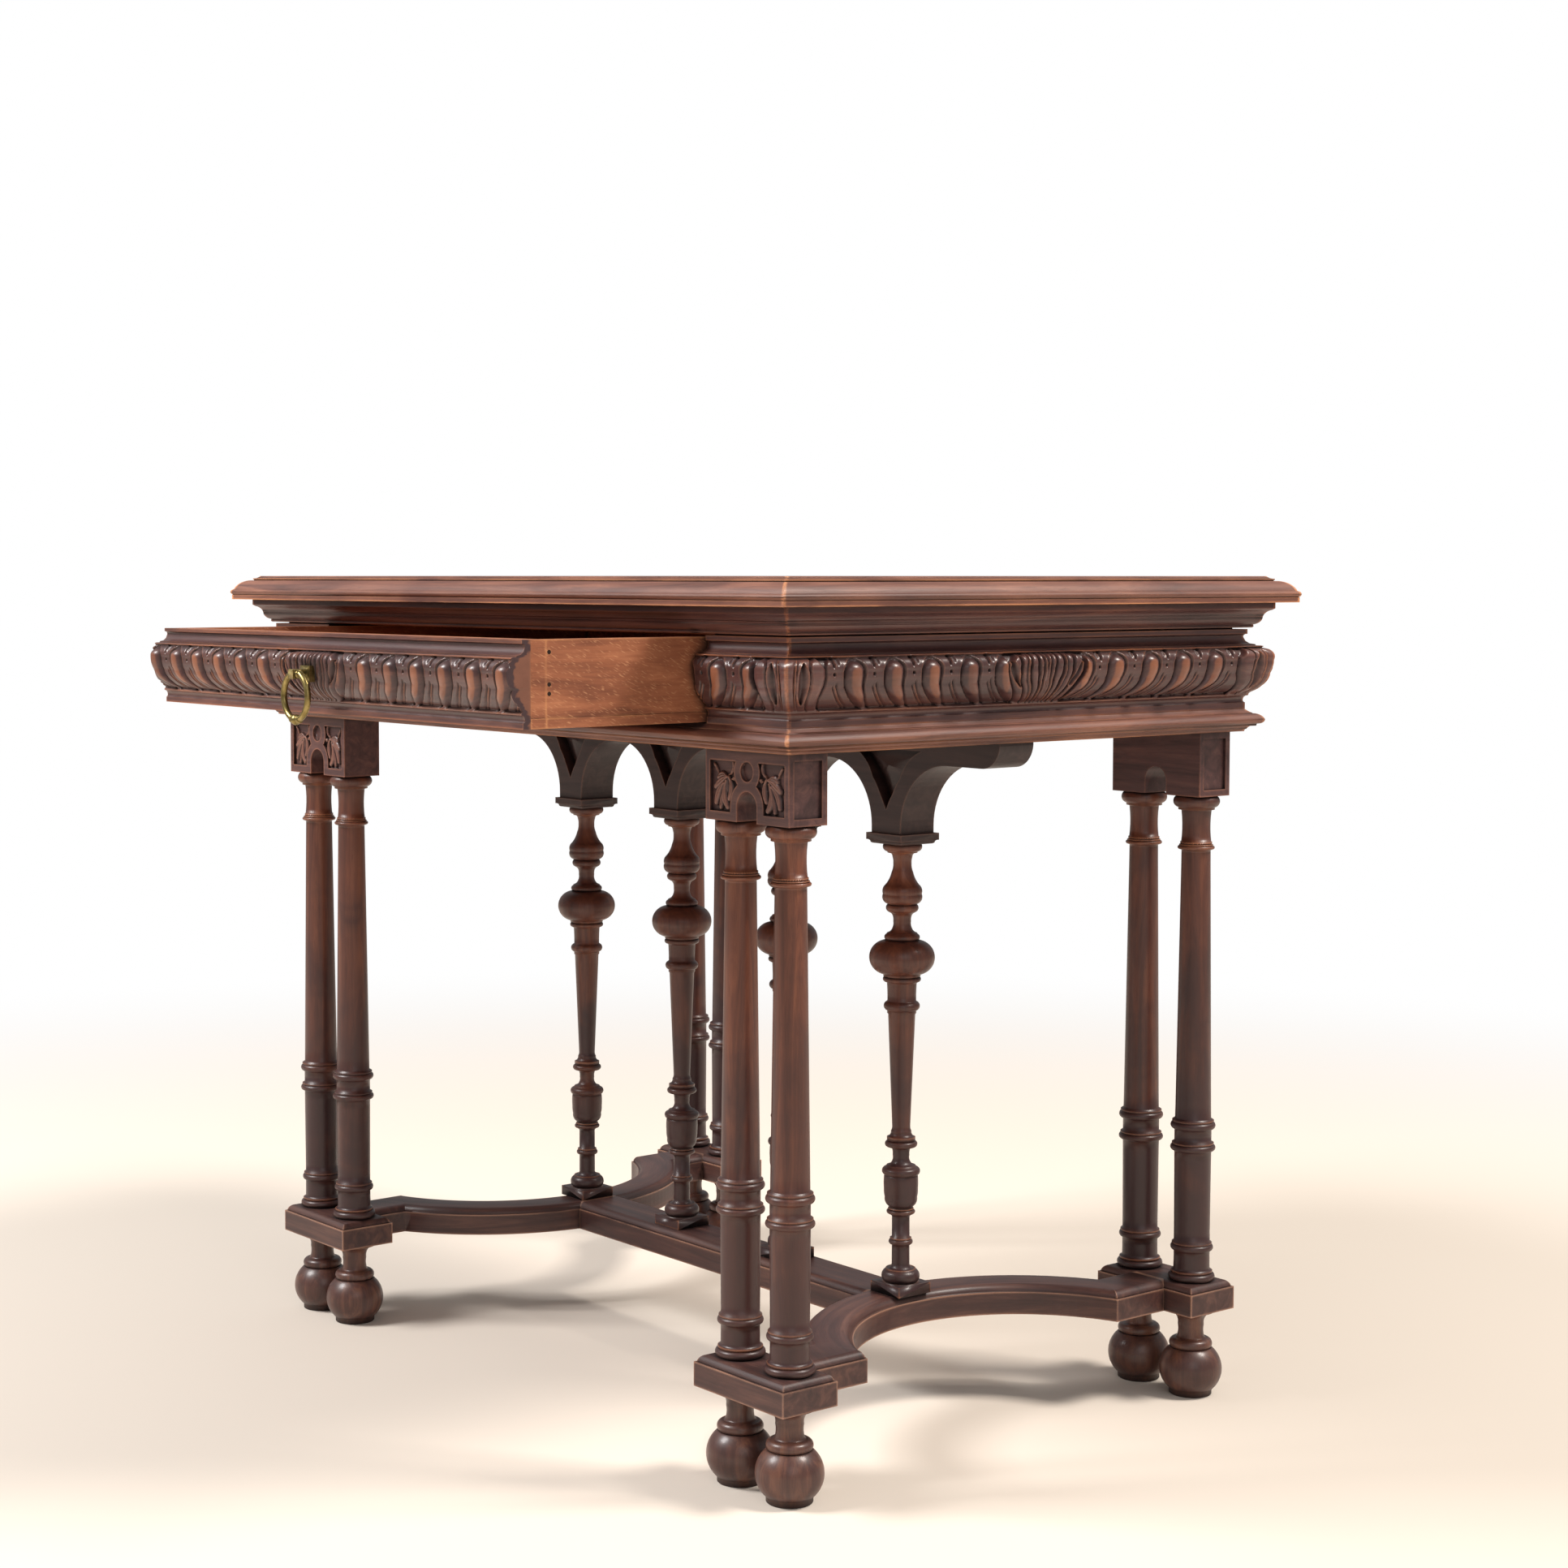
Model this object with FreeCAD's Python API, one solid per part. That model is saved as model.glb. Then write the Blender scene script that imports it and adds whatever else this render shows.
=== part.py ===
import FreeCAD, Part
import math
import os

from FreeCAD import Vector

os.makedirs("parts", exist_ok=True)

# Plan of the top, over its bead
LENGTH = 878.0
DEPTH = 607.0

# Heights, from the floor up
FOOT_H = 79.4
PLINTH_H = 26.6
COLUMN_H = 445.5
BLOCK_H = 58.5
BASE_H = 20.5
FRIEZE_H = 71.8
REVEAL_H = 1.4
CORNICE_H = 22.7
TOP_H = 23.6

# Levels that follow from the heights
PLINTH_Z = FOOT_H
COLUMN_Z = PLINTH_Z + PLINTH_H
BLOCK_Z = COLUMN_Z + COLUMN_H
BASE_Z = BLOCK_Z + BLOCK_H
FRIEZE_Z = BASE_Z + BASE_H
REVEAL_Z = FRIEZE_Z + FRIEZE_H
CORNICE_Z = REVEAL_Z + REVEAL_H
TOP_Z = CORNICE_Z + CORNICE_H

# Mouldings: IN is the set-back of the foremost point from the bead, CUT the depth of the outline
# behind it, and BOARD the width of the board, also from the bead
TOP_CUT = 22.2
TOP_BOARD = 80.0
CORNICE_IN = 16.3
CORNICE_CUT = 14.8
CORNICE_BOARD = 75.0
FRIEZE_IN = 15.6
FRIEZE_CUT = 20.7
FRIEZE_BOARD = 52.0
REVEAL_IN = 43.0
BASE_IN = 21.9
BASE_CUT = 13.0
BASE_BOARD = 80.0
PANEL_TONGUE = 8.0

# Outlines as rows of set-back share, height share and bow (rise over chord of an arc, 0 for a line)
TOP_SHARES = (
    (0.054, 0.000, 0), (0.054, 0.191, 0), (0.085, 0.203, 0), (0.085, 0.424, 0.36), (0.117, 0.432, 0),
    (0.730, 0.814, 0.16), (0.793, 0.814, 0), (0.793, 0.839, 0), (0.761, 0.847, 0), (0.761, 0.898, 0),
    (1.000, 1.000, -0.12),
)
CORNICE_SHARES = (
    (1.000, 0.000, 0), (0.939, 0.101, 0.30), (0.912, 0.123, 0), (0.534, 0.392, 0.16),
    (0.128, 0.700, -0.16), (0.000, 0.762, 0), (0.000, 1.000, 0),
)
FRIEZE_SHARES = (
    (0.923, 0.000, 0), (0.923, 0.077, 0), (0.986, 0.123, -0.20), (0.831, 0.169, -0.20),
    (0.812, 0.189, 0), (0.720, 0.210, 0), (0.406, 0.287, 0.06), (0.140, 0.451, 0.09),
    (0.020, 0.614, 0.05), (0.222, 0.758, 0.20), (0.594, 0.797, 0.12), (0.623, 0.799, 0),
    (0.623, 0.811, 0), (1.000, 0.904, -0.20), (0.870, 0.940, -0.25), (0.870, 1.000, 0),
)
BASE_SHARES = (
    (1.000, 0.000, 0), (0.885, 0.107, -0.20), (0.423, 0.244, -0.20), (0.392, 0.332, 0),
    (0.285, 0.341, 0), (0.000, 0.537, 0.20), (0.615, 0.795, 0.16), (0.615, 0.815, 0),
    (0.985, 0.985, -0.05), (1.000, 1.000, 0),
)
PLINTH_SHARES = (
    (0.000, 0.000, 0), (0.000, 0.767, 0), (0.235, 0.767, 0), (0.235, 0.805, 0), (1.000, 1.000, 0.16),
)
CAPITAL_SHARES = (
    (1.000, 0.000, 0), (0.700, 0.080, 0), (0.150, 0.350, -0.20), (0.000, 0.350, 0), (0.000, 1.000, 0),
)

# Turned work as rows of height share, radius share and bow; a row of four is a ring:
# its lower and upper height, the radius beside it and the radius of its crest
COLUMN_SHARES = (
    (0.000, 0.852, 0), (0.016, 0.867, 0.43), (0.016, 0.900, 0), (0.020, 0.900, 0), (0.021, 0.852, 0),
    (0.028, 0.781, -0.15), (0.060, 0.081, 0.774, 0.921), (0.267, 0.288, 0.795, 0.973),
    (0.312, 0.335, 0.795, 0.967), (0.337, 0.776, 0), (0.884, 0.624, 0), (0.888, 0.901, 0.624, 0.795),
    (0.901, 0.681, 0), (0.905, 0.681, 0), (0.905, 0.643, 0), (0.967, 0.638, -0.03),
    (0.971, 0.714, -0.20), (0.971, 0.781, 0), (0.976, 0.781, 0), (0.976, 0.829, 0), (1.000, 0.829, 0.33),
)
FOOT_SHARES = (
    (0.000, 0.648, 0), (0.010, 0.676, 0), (0.060, 0.676, 0), (0.545, 0.662, 0.24), (0.545, 0.620, 0),
    (0.649, 0.575, 0.28), (0.654, 0.523, 0), (0.679, 0.425, -0.20), (0.811, 0.413, -0.06),
    (0.969, 0.704, -0.20), (0.969, 0.732, 0), (1.000, 0.732, 0),
)
BALUSTER_SHARES = (
    (0.000, 0.497, 0), (0.028, 0.479, 0.27), (0.028, 0.459, 0), (0.031, 0.459, 0), (0.034, 0.313, -0.20),
    (0.044, 0.276, -0.10), (0.084, 0.103, 0.274, 0.373), (0.145, 0.274, 0), (0.153, 0.318, -0.15),
    (0.154, 0.171, 0.325, 0.442), (0.194, 0.500, 0.18), (0.214, 0.527, 0.04), (0.240, 0.527, 0.02),
    (0.244, 0.517, 0), (0.245, 0.500, 0), (0.263, 0.500, 0.36), (0.263, 0.466, 0), (0.267, 0.449, 0),
    (0.271, 0.325, -0.05), (0.290, 0.259, -0.12), (0.303, 0.274, -0.05), (0.309, 0.337, -0.10),
    (0.309, 0.432, 0), (0.323, 0.425, 0.38), (0.323, 0.438, 0), (0.332, 0.438, 0), (0.345, 0.318, -0.20),
    (0.357, 0.280, -0.08), (0.612, 0.418, 0), (0.615, 0.449, 0), (0.621, 0.449, 0), (0.621, 0.466, 0),
    (0.641, 0.466, 0.33), (0.643, 0.442, 0), (0.680, 0.455, -0.01), (0.685, 0.479, -0.10),
    (0.686, 0.527, 0), (0.698, 0.527, 0.36), (0.699, 0.572, 0), (0.702, 0.572, 0), (0.704, 0.603, 0),
    (0.779, 0.596, 0.40), (0.781, 0.500, 0), (0.794, 0.486, 0.30), (0.797, 0.459, 0),
    (0.807, 0.305, -0.12), (0.823, 0.274, -0.08), (0.837, 0.298, -0.06), (0.844, 0.411, -0.10),
    (0.845, 0.432, 0), (0.862, 0.445, 0.27), (0.863, 0.466, 0), (0.885, 0.596, 0.22),
    (0.906, 0.517, 0.16), (0.934, 0.332, -0.06), (0.955, 0.281, -0.06), (0.969, 0.305, -0.05),
    (0.978, 0.373, -0.12), (0.979, 0.462, 0), (0.982, 0.462, 0), (0.982, 0.500, 0), (1.000, 0.562, 0.28),
)
RING_UP_SHARES = (0.12, 0.68, 0.72, 0.76, 0.88)
RING_STEP_SHARE = 0.60
RING_GROOVE_SHARE = 0.35

# Pairs of turned columns and feet under each corner, IN being their set-back from the bead of the top
PAIR_IN_X = 97.4
PAIR_IN_Y = 63.2
PAIR_GAP = 63.8
COLUMN_R = 21.0
FOOT_R = 28.7
TENON_R = 9.0
COLUMN_TENON = 12.0
FOOT_TENON = 10.0
TENON_FIT = 0.05

# Plinths
PLINTH_X = 115.5
PLINTH_Y = 57.7
PLINTH_CUT = 8.5

# Corner blocks: notch between the columns, ribbon ring over it, sunk fields
BLOCK_X = 106.0
BLOCK_Y = 40.0
NOTCH_W = 25.4
NOTCH_STRAIGHT = 12.6
RIBBON_W = 8.5
RIBBON_R = 16.3
RIBBON_HOLE_R = 8.0
RIBBON_UP = 41.3
FIELD_MARGIN = 5.5
FIELD_BOTTOM = 7.5
FIELD_TOP = 9.5
FIELD_SINK = 3.0
END_BOTTOM = 6.0
END_TOP = 6.4
END_SINK = 2.5

# Curved end stretchers and the straight one between them
YOKE_IN = 21.3
YOKE_R_SHARE = 0.66
YOKE_W = 44.4
YOKE_LEG_W = 50.0
STRETCHER_W = 56.0

# Arcade: balusters, capitals and the beam with its arches
BALUSTERS = 4
BALUSTER_ON = 17.15
BALUSTER_R = 29.2
BALUSTER_BASE = 38.0
BALUSTER_BASE_H = 9.5
BALUSTER_TENON_R = 6.0
BALUSTER_TENON = 14.0
CAPITAL_W = 46.0
CAPITAL_H = 9.5
CAPITAL_CUT = 4.0
BEAM_H = 88.5
BEAM_T = 40.0
BEAM_LAP = 26.0
BEAM_BLOCK = 38.0
BEAM_TOP = 24.0
ARCH_FLAT = 7.3
ARCH_END_SHARE = 0.574
ARCH_STRAIGHT = 6.5
NOSE_RUN = 23.0
NOSE_RISE = 20.0
NOSE_BOW_SHARE = 0.20
QUARTER_BOW_SHARE = 0.2071
POCKET_CLEAR = 12.0
POCKET_H = 54.0
POCKET_UP = 21.6
POCKET_SINK = 12.0
PEAK_SINK = 3.0
PEAK_UP = 39.5
# From the lowest point up the right edge: side share, height share, bow
POCKET_SHARES = ((0.000, 0.000, 0), (0.174, 0.256, -0.03), (0.391, 0.531, -0.03), (1.000, 1.000, -0.12))
FACET_SHARE = 0.9

# Drawer and what carries it
STILE_W = 139.0
DRAWER_PLAY = 1.0
RAIL_PLAY = 1.0
HEAD_PLAY = 1.3
RUN_GAP = 0.3
DRAWER_OPEN = 178.9
FRONT_BOARD = 41.4
LINING_T = 15.0
SIDE_SHORT = 135.0
SIDE_T = 12.0
BACK_T = 12.0
BACK_DROP = 6.0
BOTTOM_T = 8.0
BOTTOM_LIP = 0.8
RUNNER_IN = 16.0
RUNNER_H = 19.0
GUIDE_W = 30.0
GUIDE_H = 29.0
STOP_W = 15.0
STOP_H = 52.0
KICKER_W = 40.0
KICKER_GAP = 0.6
NAIL_R = 1.2
NAIL_HEAD_R = 1.8
NAIL_HEAD_T = 0.8
NAIL_LENGTH = 10.0
NAIL_IN = 3.0
NAIL_UP_SHARES = (0.31, 0.43, 0.84)

# Ring pull
PLATE_W = 16.0
PLATE_H = 14.0
PLATE_T = 2.4
PLATE_SUNK = 2.6
STUB_W = 8.0
STUB_LENGTH = 14.0
STUB_UP = 35.3
TAIL_R = 2.0
TAIL_NUT_R = 5.0
TAIL_NUT_T = 3.0
PIVOT_BACK = 5.0
PIN_R = 1.55
PIN_FIT = 0.05
COLLAR_R = 3.6
COLLAR_GAP = 0.3
COLLAR_T = 3.0
RING_R = 20.25
RING_WIRE_R = 2.75
BALL_R = 4.6
BALL_COLLAR_R = 3.7
BALL_COLLAR_T = 1.6
BALL_COLLAR_ANGLE = 15.0

# Overrun of every cutting shape
OVER = 2.0

HALF_X = LENGTH / 2
HALF_Y = DEPTH / 2
UP = Vector(0, 0, 1)

# The origin is the middle of the top's upper face
ORIGIN_Z = TOP_Z + TOP_H

# Places that follow from the plan; the outer balusters stand on the crowns of the curved stretchers
PAIR_X = HALF_X - PAIR_IN_X
PAIR_Y = HALF_Y - PAIR_IN_Y
STILE_X = HALF_X - STILE_W
SIDE_LENGTH = DEPTH - SIDE_SHORT
YOKE_X = HALF_X - YOKE_IN
YOKE_R = YOKE_R_SHARE * PAIR_Y
BALUSTER_GAP = 2 * (YOKE_X - YOKE_R - BALUSTER_ON) / (BALUSTERS - 1)
ARCH_RUN = (BALUSTER_GAP - BEAM_BLOCK - ARCH_FLAT) / 2
POCKET_HALF = ARCH_RUN - POCKET_CLEAR
ENDS = (("left", -1), ("right", 1))
FACES = (("front", -1), ("rear", 1))


def box(x0, x1, y0, y1, z0, z1):
    shape = Part.makeBox(x1 - x0, y1 - y0, z1 - z0)
    shape.translate(Vector(x0, y0, z0))
    return shape


def rod(start, direction, radius, length):
    return Part.makeCylinder(radius, length, start, direction)


def edges_through(rows, place):
    edges = []
    for start, end in zip(rows, rows[1:]):
        first = place(start[0], start[1])
        last = place(end[0], end[1])
        if end[2] == 0:
            edges.append(Part.LineSegment(first, last).toShape())
            continue
        across = (start[0] + end[0]) / 2 + end[2] * (end[1] - start[1])
        along = (start[1] + end[1]) / 2 - end[2] * (end[0] - start[0])
        edges.append(Part.Arc(first, place(across, along), last).toShape())
    return edges


def face_through(rows, place):
    closed = list(rows) + [(rows[0][0], rows[0][1], 0)]
    return Part.Face(Part.Wire(edges_through(closed, place)))


def across_y(out, up):
    return Vector(0, out, up)


def across_x(out, up):
    return Vector(out, 0, up)


def toward_front(out, up):
    return Vector(0, -out, up)


def prism(face, start, travel):
    shape = face.copy()
    shape.translate(start)
    return shape.extrude(travel)


def drilled(shape, cutters):
    for cutter in cutters:
        shape = shape.cut(cutter)
    return shape


def joined(shapes):
    whole = shapes[0]
    for shape in shapes[1:]:
        whole = whole.fuse(shape)
    return whole.removeSplitter()


def save(node, shape):
    placed = shape.copy()
    placed.translate(Vector(0, 0, -ORIGIN_Z))
    placed.exportStep("parts/" + node + ".step")


# Mouldings and mitred rails
def moulded_bar(shares, first, cut, board, z, height, reach, run):
    rows = [(reach - first - share * cut, z + up * height, bow) for share, up, bow in shares]
    rows = rows + [(reach - board, z + height, 0), (reach - board, z, 0)]
    return prism(face_through(rows, toward_front), Vector(-run, 0, 0), Vector(2 * run, 0, 0))


def mitre_plan(board, z, height, reach, run):
    wide = run + OVER
    narrow = run - board - OVER
    front = -reach - OVER
    back = -reach + board + OVER
    corners = ((-wide, front), (wide, front), (narrow, back), (-narrow, back), (-wide, front))
    wire = Part.makePolygon([Vector(x, y, z - OVER) for x, y in corners])
    return Part.Face(wire).extrude(Vector(0, 0, height + 2 * OVER))


def mitred_rail(shares, first, cut, board, z, height, reach, run):
    bar = moulded_bar(shares, first, cut, board, z, height, reach, run)
    return bar.common(mitre_plan(board, z, height, reach, run))


def four_sides(make):
    rails = {}
    for side, angle, reach, run in (("front", 0, HALF_Y, HALF_X), ("right", 90, HALF_X, HALF_Y),
                                    ("rear", 180, HALF_Y, HALF_X), ("left", 270, HALF_X, HALF_Y)):
        rail = make(reach, run)
        rail.rotate(Vector(0, 0, 0), UP, angle)
        rails[side] = rail
    return rails


def top_side(reach, run):
    return mitred_rail(TOP_SHARES, 0, TOP_CUT, TOP_BOARD, TOP_Z, TOP_H, reach, run)


def cornice_side(reach, run):
    return mitred_rail(CORNICE_SHARES, CORNICE_IN, CORNICE_CUT, CORNICE_BOARD, CORNICE_Z, CORNICE_H,
                       reach, run)


def base_side(reach, run):
    return mitred_rail(BASE_SHARES, BASE_IN, BASE_CUT, BASE_BOARD, BASE_Z, BASE_H, reach, run)


def frieze_side(reach, run):
    board = mitred_rail(FRIEZE_SHARES, FRIEZE_IN, FRIEZE_CUT, FRIEZE_BOARD, FRIEZE_Z, FRIEZE_H, reach, run)
    strip = box(-run, run, -reach + REVEAL_IN, -reach + FRIEZE_BOARD, REVEAL_Z, CORNICE_Z)
    strip = strip.common(mitre_plan(FRIEZE_BOARD, REVEAL_Z, REVEAL_H, reach, run))
    return joined([board, strip])


def top_panel():
    field_x = HALF_X - TOP_BOARD
    field_y = HALF_Y - TOP_BOARD
    tongue_z = TOP_Z + TOP_H / 3
    field = box(-field_x, field_x, -field_y, field_y, TOP_Z, TOP_Z + TOP_H)
    tongue = box(-field_x - PANEL_TONGUE, field_x + PANEL_TONGUE, -field_y - PANEL_TONGUE,
                 field_y + PANEL_TONGUE, tongue_z, tongue_z + TOP_H / 3)
    return joined([field, tongue])


def frieze_stile(board, end):
    reach = HALF_X if end > 0 else -STILE_X
    start = STILE_X if end > 0 else -HALF_X
    return board.common(box(start, reach, -HALF_Y, 0, FRIEZE_Z, CORNICE_Z))


# Blocks with a moulding on all four sides, and bars with one on two
def bar_rows(shares, cut, middle, half, z, height):
    rows = [(middle + half - share * cut, z + up * height, bow) for share, up, bow in shares]
    bows = [0] + [row[2] for row in reversed(rows[1:])]
    back = [(2 * middle - row[0], row[1], bow) for row, bow in zip(reversed(rows), bows)]
    return rows + back


def moulded_block(shares, cut, x, y, size_x, size_y, z, height):
    along = face_through(bar_rows(shares, cut, y, size_y / 2, z, height), across_y)
    cross = face_through(bar_rows(shares, cut, x, size_x / 2, z, height), across_x)
    bar = prism(along, Vector(x - size_x, 0, 0), Vector(2 * size_x, 0, 0))
    return bar.common(prism(cross, Vector(0, y - size_y, 0), Vector(0, 2 * size_y, 0)))


# Turned work
def ring_rows(low, high, side, crest):
    tall = high - low
    proud = crest - side
    step = side + RING_STEP_SHARE * proud
    groove = side + RING_GROOVE_SHARE * proud
    foot, head, notch, fillet, top = [low + share * tall for share in RING_UP_SHARES]
    bow = (crest - step) / (head - foot)
    return [(side, low, 0), (step, foot, 0), (step, head, bow), (groove, notch, 0), (step, fillet, 0),
            (step, top, 0), (side, high, 0)]


def turned(shares, x, y, z, height, radius):
    rows = [(0, 0, 0)]
    for row in shares:
        if len(row) == 4:
            rows += ring_rows(row[0] * height, row[1] * height, row[2] * radius, row[3] * radius)
        else:
            rows.append((row[1] * radius, row[0] * height, row[2]))
    rows.append((0, height, 0))
    shape = face_through(rows, across_x).revolve(Vector(0, 0, 0), UP, 360)
    shape.translate(Vector(x, y, z))
    return shape


def pair_spots(end, face):
    middle = end * PAIR_X
    outer = middle + end * PAIR_GAP / 2
    inner = middle - end * PAIR_GAP / 2
    return (("outer", outer, face * PAIR_Y), ("inner", inner, face * PAIR_Y))


def column(x, y):
    shaft = turned(COLUMN_SHARES, x, y, COLUMN_Z, COLUMN_H, COLUMN_R)
    lower = rod(Vector(x, y, COLUMN_Z), -UP, TENON_R, COLUMN_TENON)
    upper = rod(Vector(x, y, BLOCK_Z), UP, TENON_R, COLUMN_TENON)
    return joined([shaft, lower, upper])


def foot(x, y):
    ball = turned(FOOT_SHARES, x, y, 0, FOOT_H, FOOT_R)
    return joined([ball, rod(Vector(x, y, PLINTH_Z), UP, TENON_R, FOOT_TENON)])


def socket(x, y, z, direction, length):
    return rod(Vector(x, y, z), direction, TENON_R + TENON_FIT, length + TENON_FIT)


# Corners of the stand
def plain_plinth(end, face):
    return moulded_block(PLINTH_SHARES, PLINTH_CUT, end * PAIR_X, face * PAIR_Y, PLINTH_X, PLINTH_Y,
                         PLINTH_Z, PLINTH_H)


def plinth(end, face):
    sockets = []
    for _, x, y in pair_spots(end, face):
        sockets.append(socket(x, y, COLUMN_Z, -UP, COLUMN_TENON))
        sockets.append(socket(x, y, PLINTH_Z, UP, FOOT_TENON))
    return drilled(plain_plinth(end, face), sockets)


def notch_shape(radius, depth, z_extra):
    round_z = BLOCK_Z + NOTCH_STRAIGHT
    arch = rod(Vector(0, -depth, round_z), Vector(0, 1, 0), radius, 2 * depth)
    return arch.fuse(box(-radius, radius, -depth, depth, BLOCK_Z - z_extra, round_z))


def block_field():
    half = BLOCK_X / 2 - FIELD_MARGIN
    depth = BLOCK_Y
    ring_z = BLOCK_Z + RIBBON_UP
    field = box(-half, half, -depth, depth, BLOCK_Z + FIELD_BOTTOM, BLOCK_Z + BLOCK_H - FIELD_TOP)
    field = field.cut(notch_shape(NOTCH_W / 2 + RIBBON_W, 2 * depth, OVER))
    field = field.cut(rod(Vector(0, -2 * depth, ring_z), Vector(0, 1, 0), RIBBON_R, 4 * depth))
    return field.fuse(rod(Vector(0, -depth, ring_z), Vector(0, 1, 0), RIBBON_HOLE_R, 2 * depth))


def corner_block(end, face):
    half_x = BLOCK_X / 2
    half_y = BLOCK_Y / 2
    block = box(-half_x, half_x, -half_y, half_y, BLOCK_Z, BASE_Z)
    block = block.cut(notch_shape(NOTCH_W / 2, BLOCK_Y, OVER))
    field = block_field()
    field.translate(Vector(0, face * (half_y + BLOCK_Y - FIELD_SINK), 0))
    block = block.cut(field)
    panel_half = half_y - FIELD_MARGIN
    panel = box(-half_x, half_x, -panel_half, panel_half, BLOCK_Z + END_BOTTOM, BASE_Z - END_TOP)
    panel.translate(Vector(end * (BLOCK_X - END_SINK), 0, 0))
    block = block.cut(panel)
    block.translate(Vector(end * PAIR_X, face * PAIR_Y, 0))
    sockets = [socket(x, y, BLOCK_Z, UP, COLUMN_TENON) for _, x, y in pair_spots(end, face)]
    return drilled(block, sockets)


# Stretchers
def yoke_points():
    outer_x = PAIR_X + YOKE_LEG_W / 2
    inner_x = PAIR_X - YOKE_LEG_W / 2
    outer_y = math.sqrt(YOKE_R ** 2 - (YOKE_X - outer_x) ** 2)
    inner_y = math.sqrt((YOKE_R + YOKE_W) ** 2 - (YOKE_X - inner_x) ** 2)
    return outer_x, outer_y, inner_x, inner_y


def yoke_arc():
    outer_x, outer_y, inner_x, inner_y = yoke_points()
    rows = bar_rows(PLINTH_SHARES, PLINTH_CUT, YOKE_R + YOKE_W / 2, YOKE_W / 2, PLINTH_Z, PLINTH_H)
    ring = face_through(rows, across_x).revolve(Vector(0, 0, 0), UP, 360)
    ring.translate(Vector(YOKE_X, 0, 0))
    run = outer_x - inner_x
    rise = inner_y - outer_y
    near_x = outer_x + run
    near_y = outer_y - rise
    far_x = inner_x - run
    far_y = inner_y + rise
    back_x = YOKE_X - YOKE_R - 2 * YOKE_W
    corners = ((near_x, near_y), (far_x, far_y), (back_x, far_y), (back_x, -far_y), (far_x, -far_y),
               (near_x, -near_y), (near_x, near_y))
    wire = Part.makePolygon([Vector(x, y, 0) for x, y in corners])
    return ring.common(Part.Face(wire).extrude(Vector(0, 0, BLOCK_Z)))


def yoke_leg(face):
    outer_x, outer_y, inner_x, inner_y = yoke_points()
    end_y = PAIR_Y - PLINTH_Y / 2 + PLINTH_CUT
    rows = bar_rows(PLINTH_SHARES, PLINTH_CUT, PAIR_X, YOKE_LEG_W / 2, PLINTH_Z, PLINTH_H)
    bar = prism(face_through(rows, across_x), Vector(0, 0, 0), Vector(0, face * end_y, 0))
    run = outer_x - inner_x
    rise = inner_y - outer_y
    corners = ((outer_x + run, outer_y - rise), (inner_x - run, inner_y + rise),
               (inner_x - run, HALF_Y), (outer_x + run, HALF_Y), (outer_x + run, outer_y - rise))
    wire = Part.makePolygon([Vector(x, face * y, 0) for x, y in corners])
    leg = bar.common(Part.Face(wire).extrude(Vector(0, 0, BLOCK_Z)))
    return leg.cut(plain_plinth(1, face))


def yoke(end):
    shape = joined([yoke_arc(), yoke_leg(-1), yoke_leg(1)])
    if end < 0:
        shape.rotate(Vector(0, 0, 0), UP, 180)
    return drilled(shape, [baluster_socket(x, COLUMN_Z, -UP) for x in baluster_spots()])


def baluster_spots():
    return [(step - (BALUSTERS - 1) / 2) * BALUSTER_GAP for step in range(BALUSTERS)]


def baluster_socket(x, z, direction):
    return rod(Vector(x, 0, z), direction, BALUSTER_TENON_R + TENON_FIT, BALUSTER_TENON + TENON_FIT)


def centre_stretcher():
    rows = bar_rows(PLINTH_SHARES, PLINTH_CUT, 0, STRETCHER_W / 2, PLINTH_Z, PLINTH_H)
    bar = prism(face_through(rows, across_y), Vector(-YOKE_X, 0, 0), Vector(2 * YOKE_X, 0, 0))
    for _, end in ENDS:
        seat = Vector(end * YOKE_X, 0, 0)
        bar = bar.cut(rod(seat, UP, YOKE_R + YOKE_W - PLINTH_CUT, BLOCK_Z))
        bar = bar.cut(yoke(end))
    return drilled(bar, [baluster_socket(x, COLUMN_Z, -UP) for x in baluster_spots()])


# Arcade
def baluster(x):
    half = BALUSTER_BASE / 2
    turned_z = COLUMN_Z + BALUSTER_BASE_H
    height = BASE_Z - BEAM_H - CAPITAL_H - turned_z
    foot_block = box(x - half, x + half, -half, half, COLUMN_Z, turned_z)
    shaft = turned(BALUSTER_SHARES, x, 0, turned_z, height, BALUSTER_R)
    lower = rod(Vector(x, 0, COLUMN_Z), -UP, BALUSTER_TENON_R, BALUSTER_TENON)
    upper = rod(Vector(x, 0, turned_z + height), UP, BALUSTER_TENON_R, BALUSTER_TENON)
    return joined([foot_block, shaft, lower, upper])


def arcade_capital(x):
    z = BASE_Z - BEAM_H - CAPITAL_H
    block = moulded_block(CAPITAL_SHARES, CAPITAL_CUT, x, 0, CAPITAL_W, CAPITAL_W, z, CAPITAL_H)
    return block.cut(baluster_socket(x, z, UP))


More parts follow.
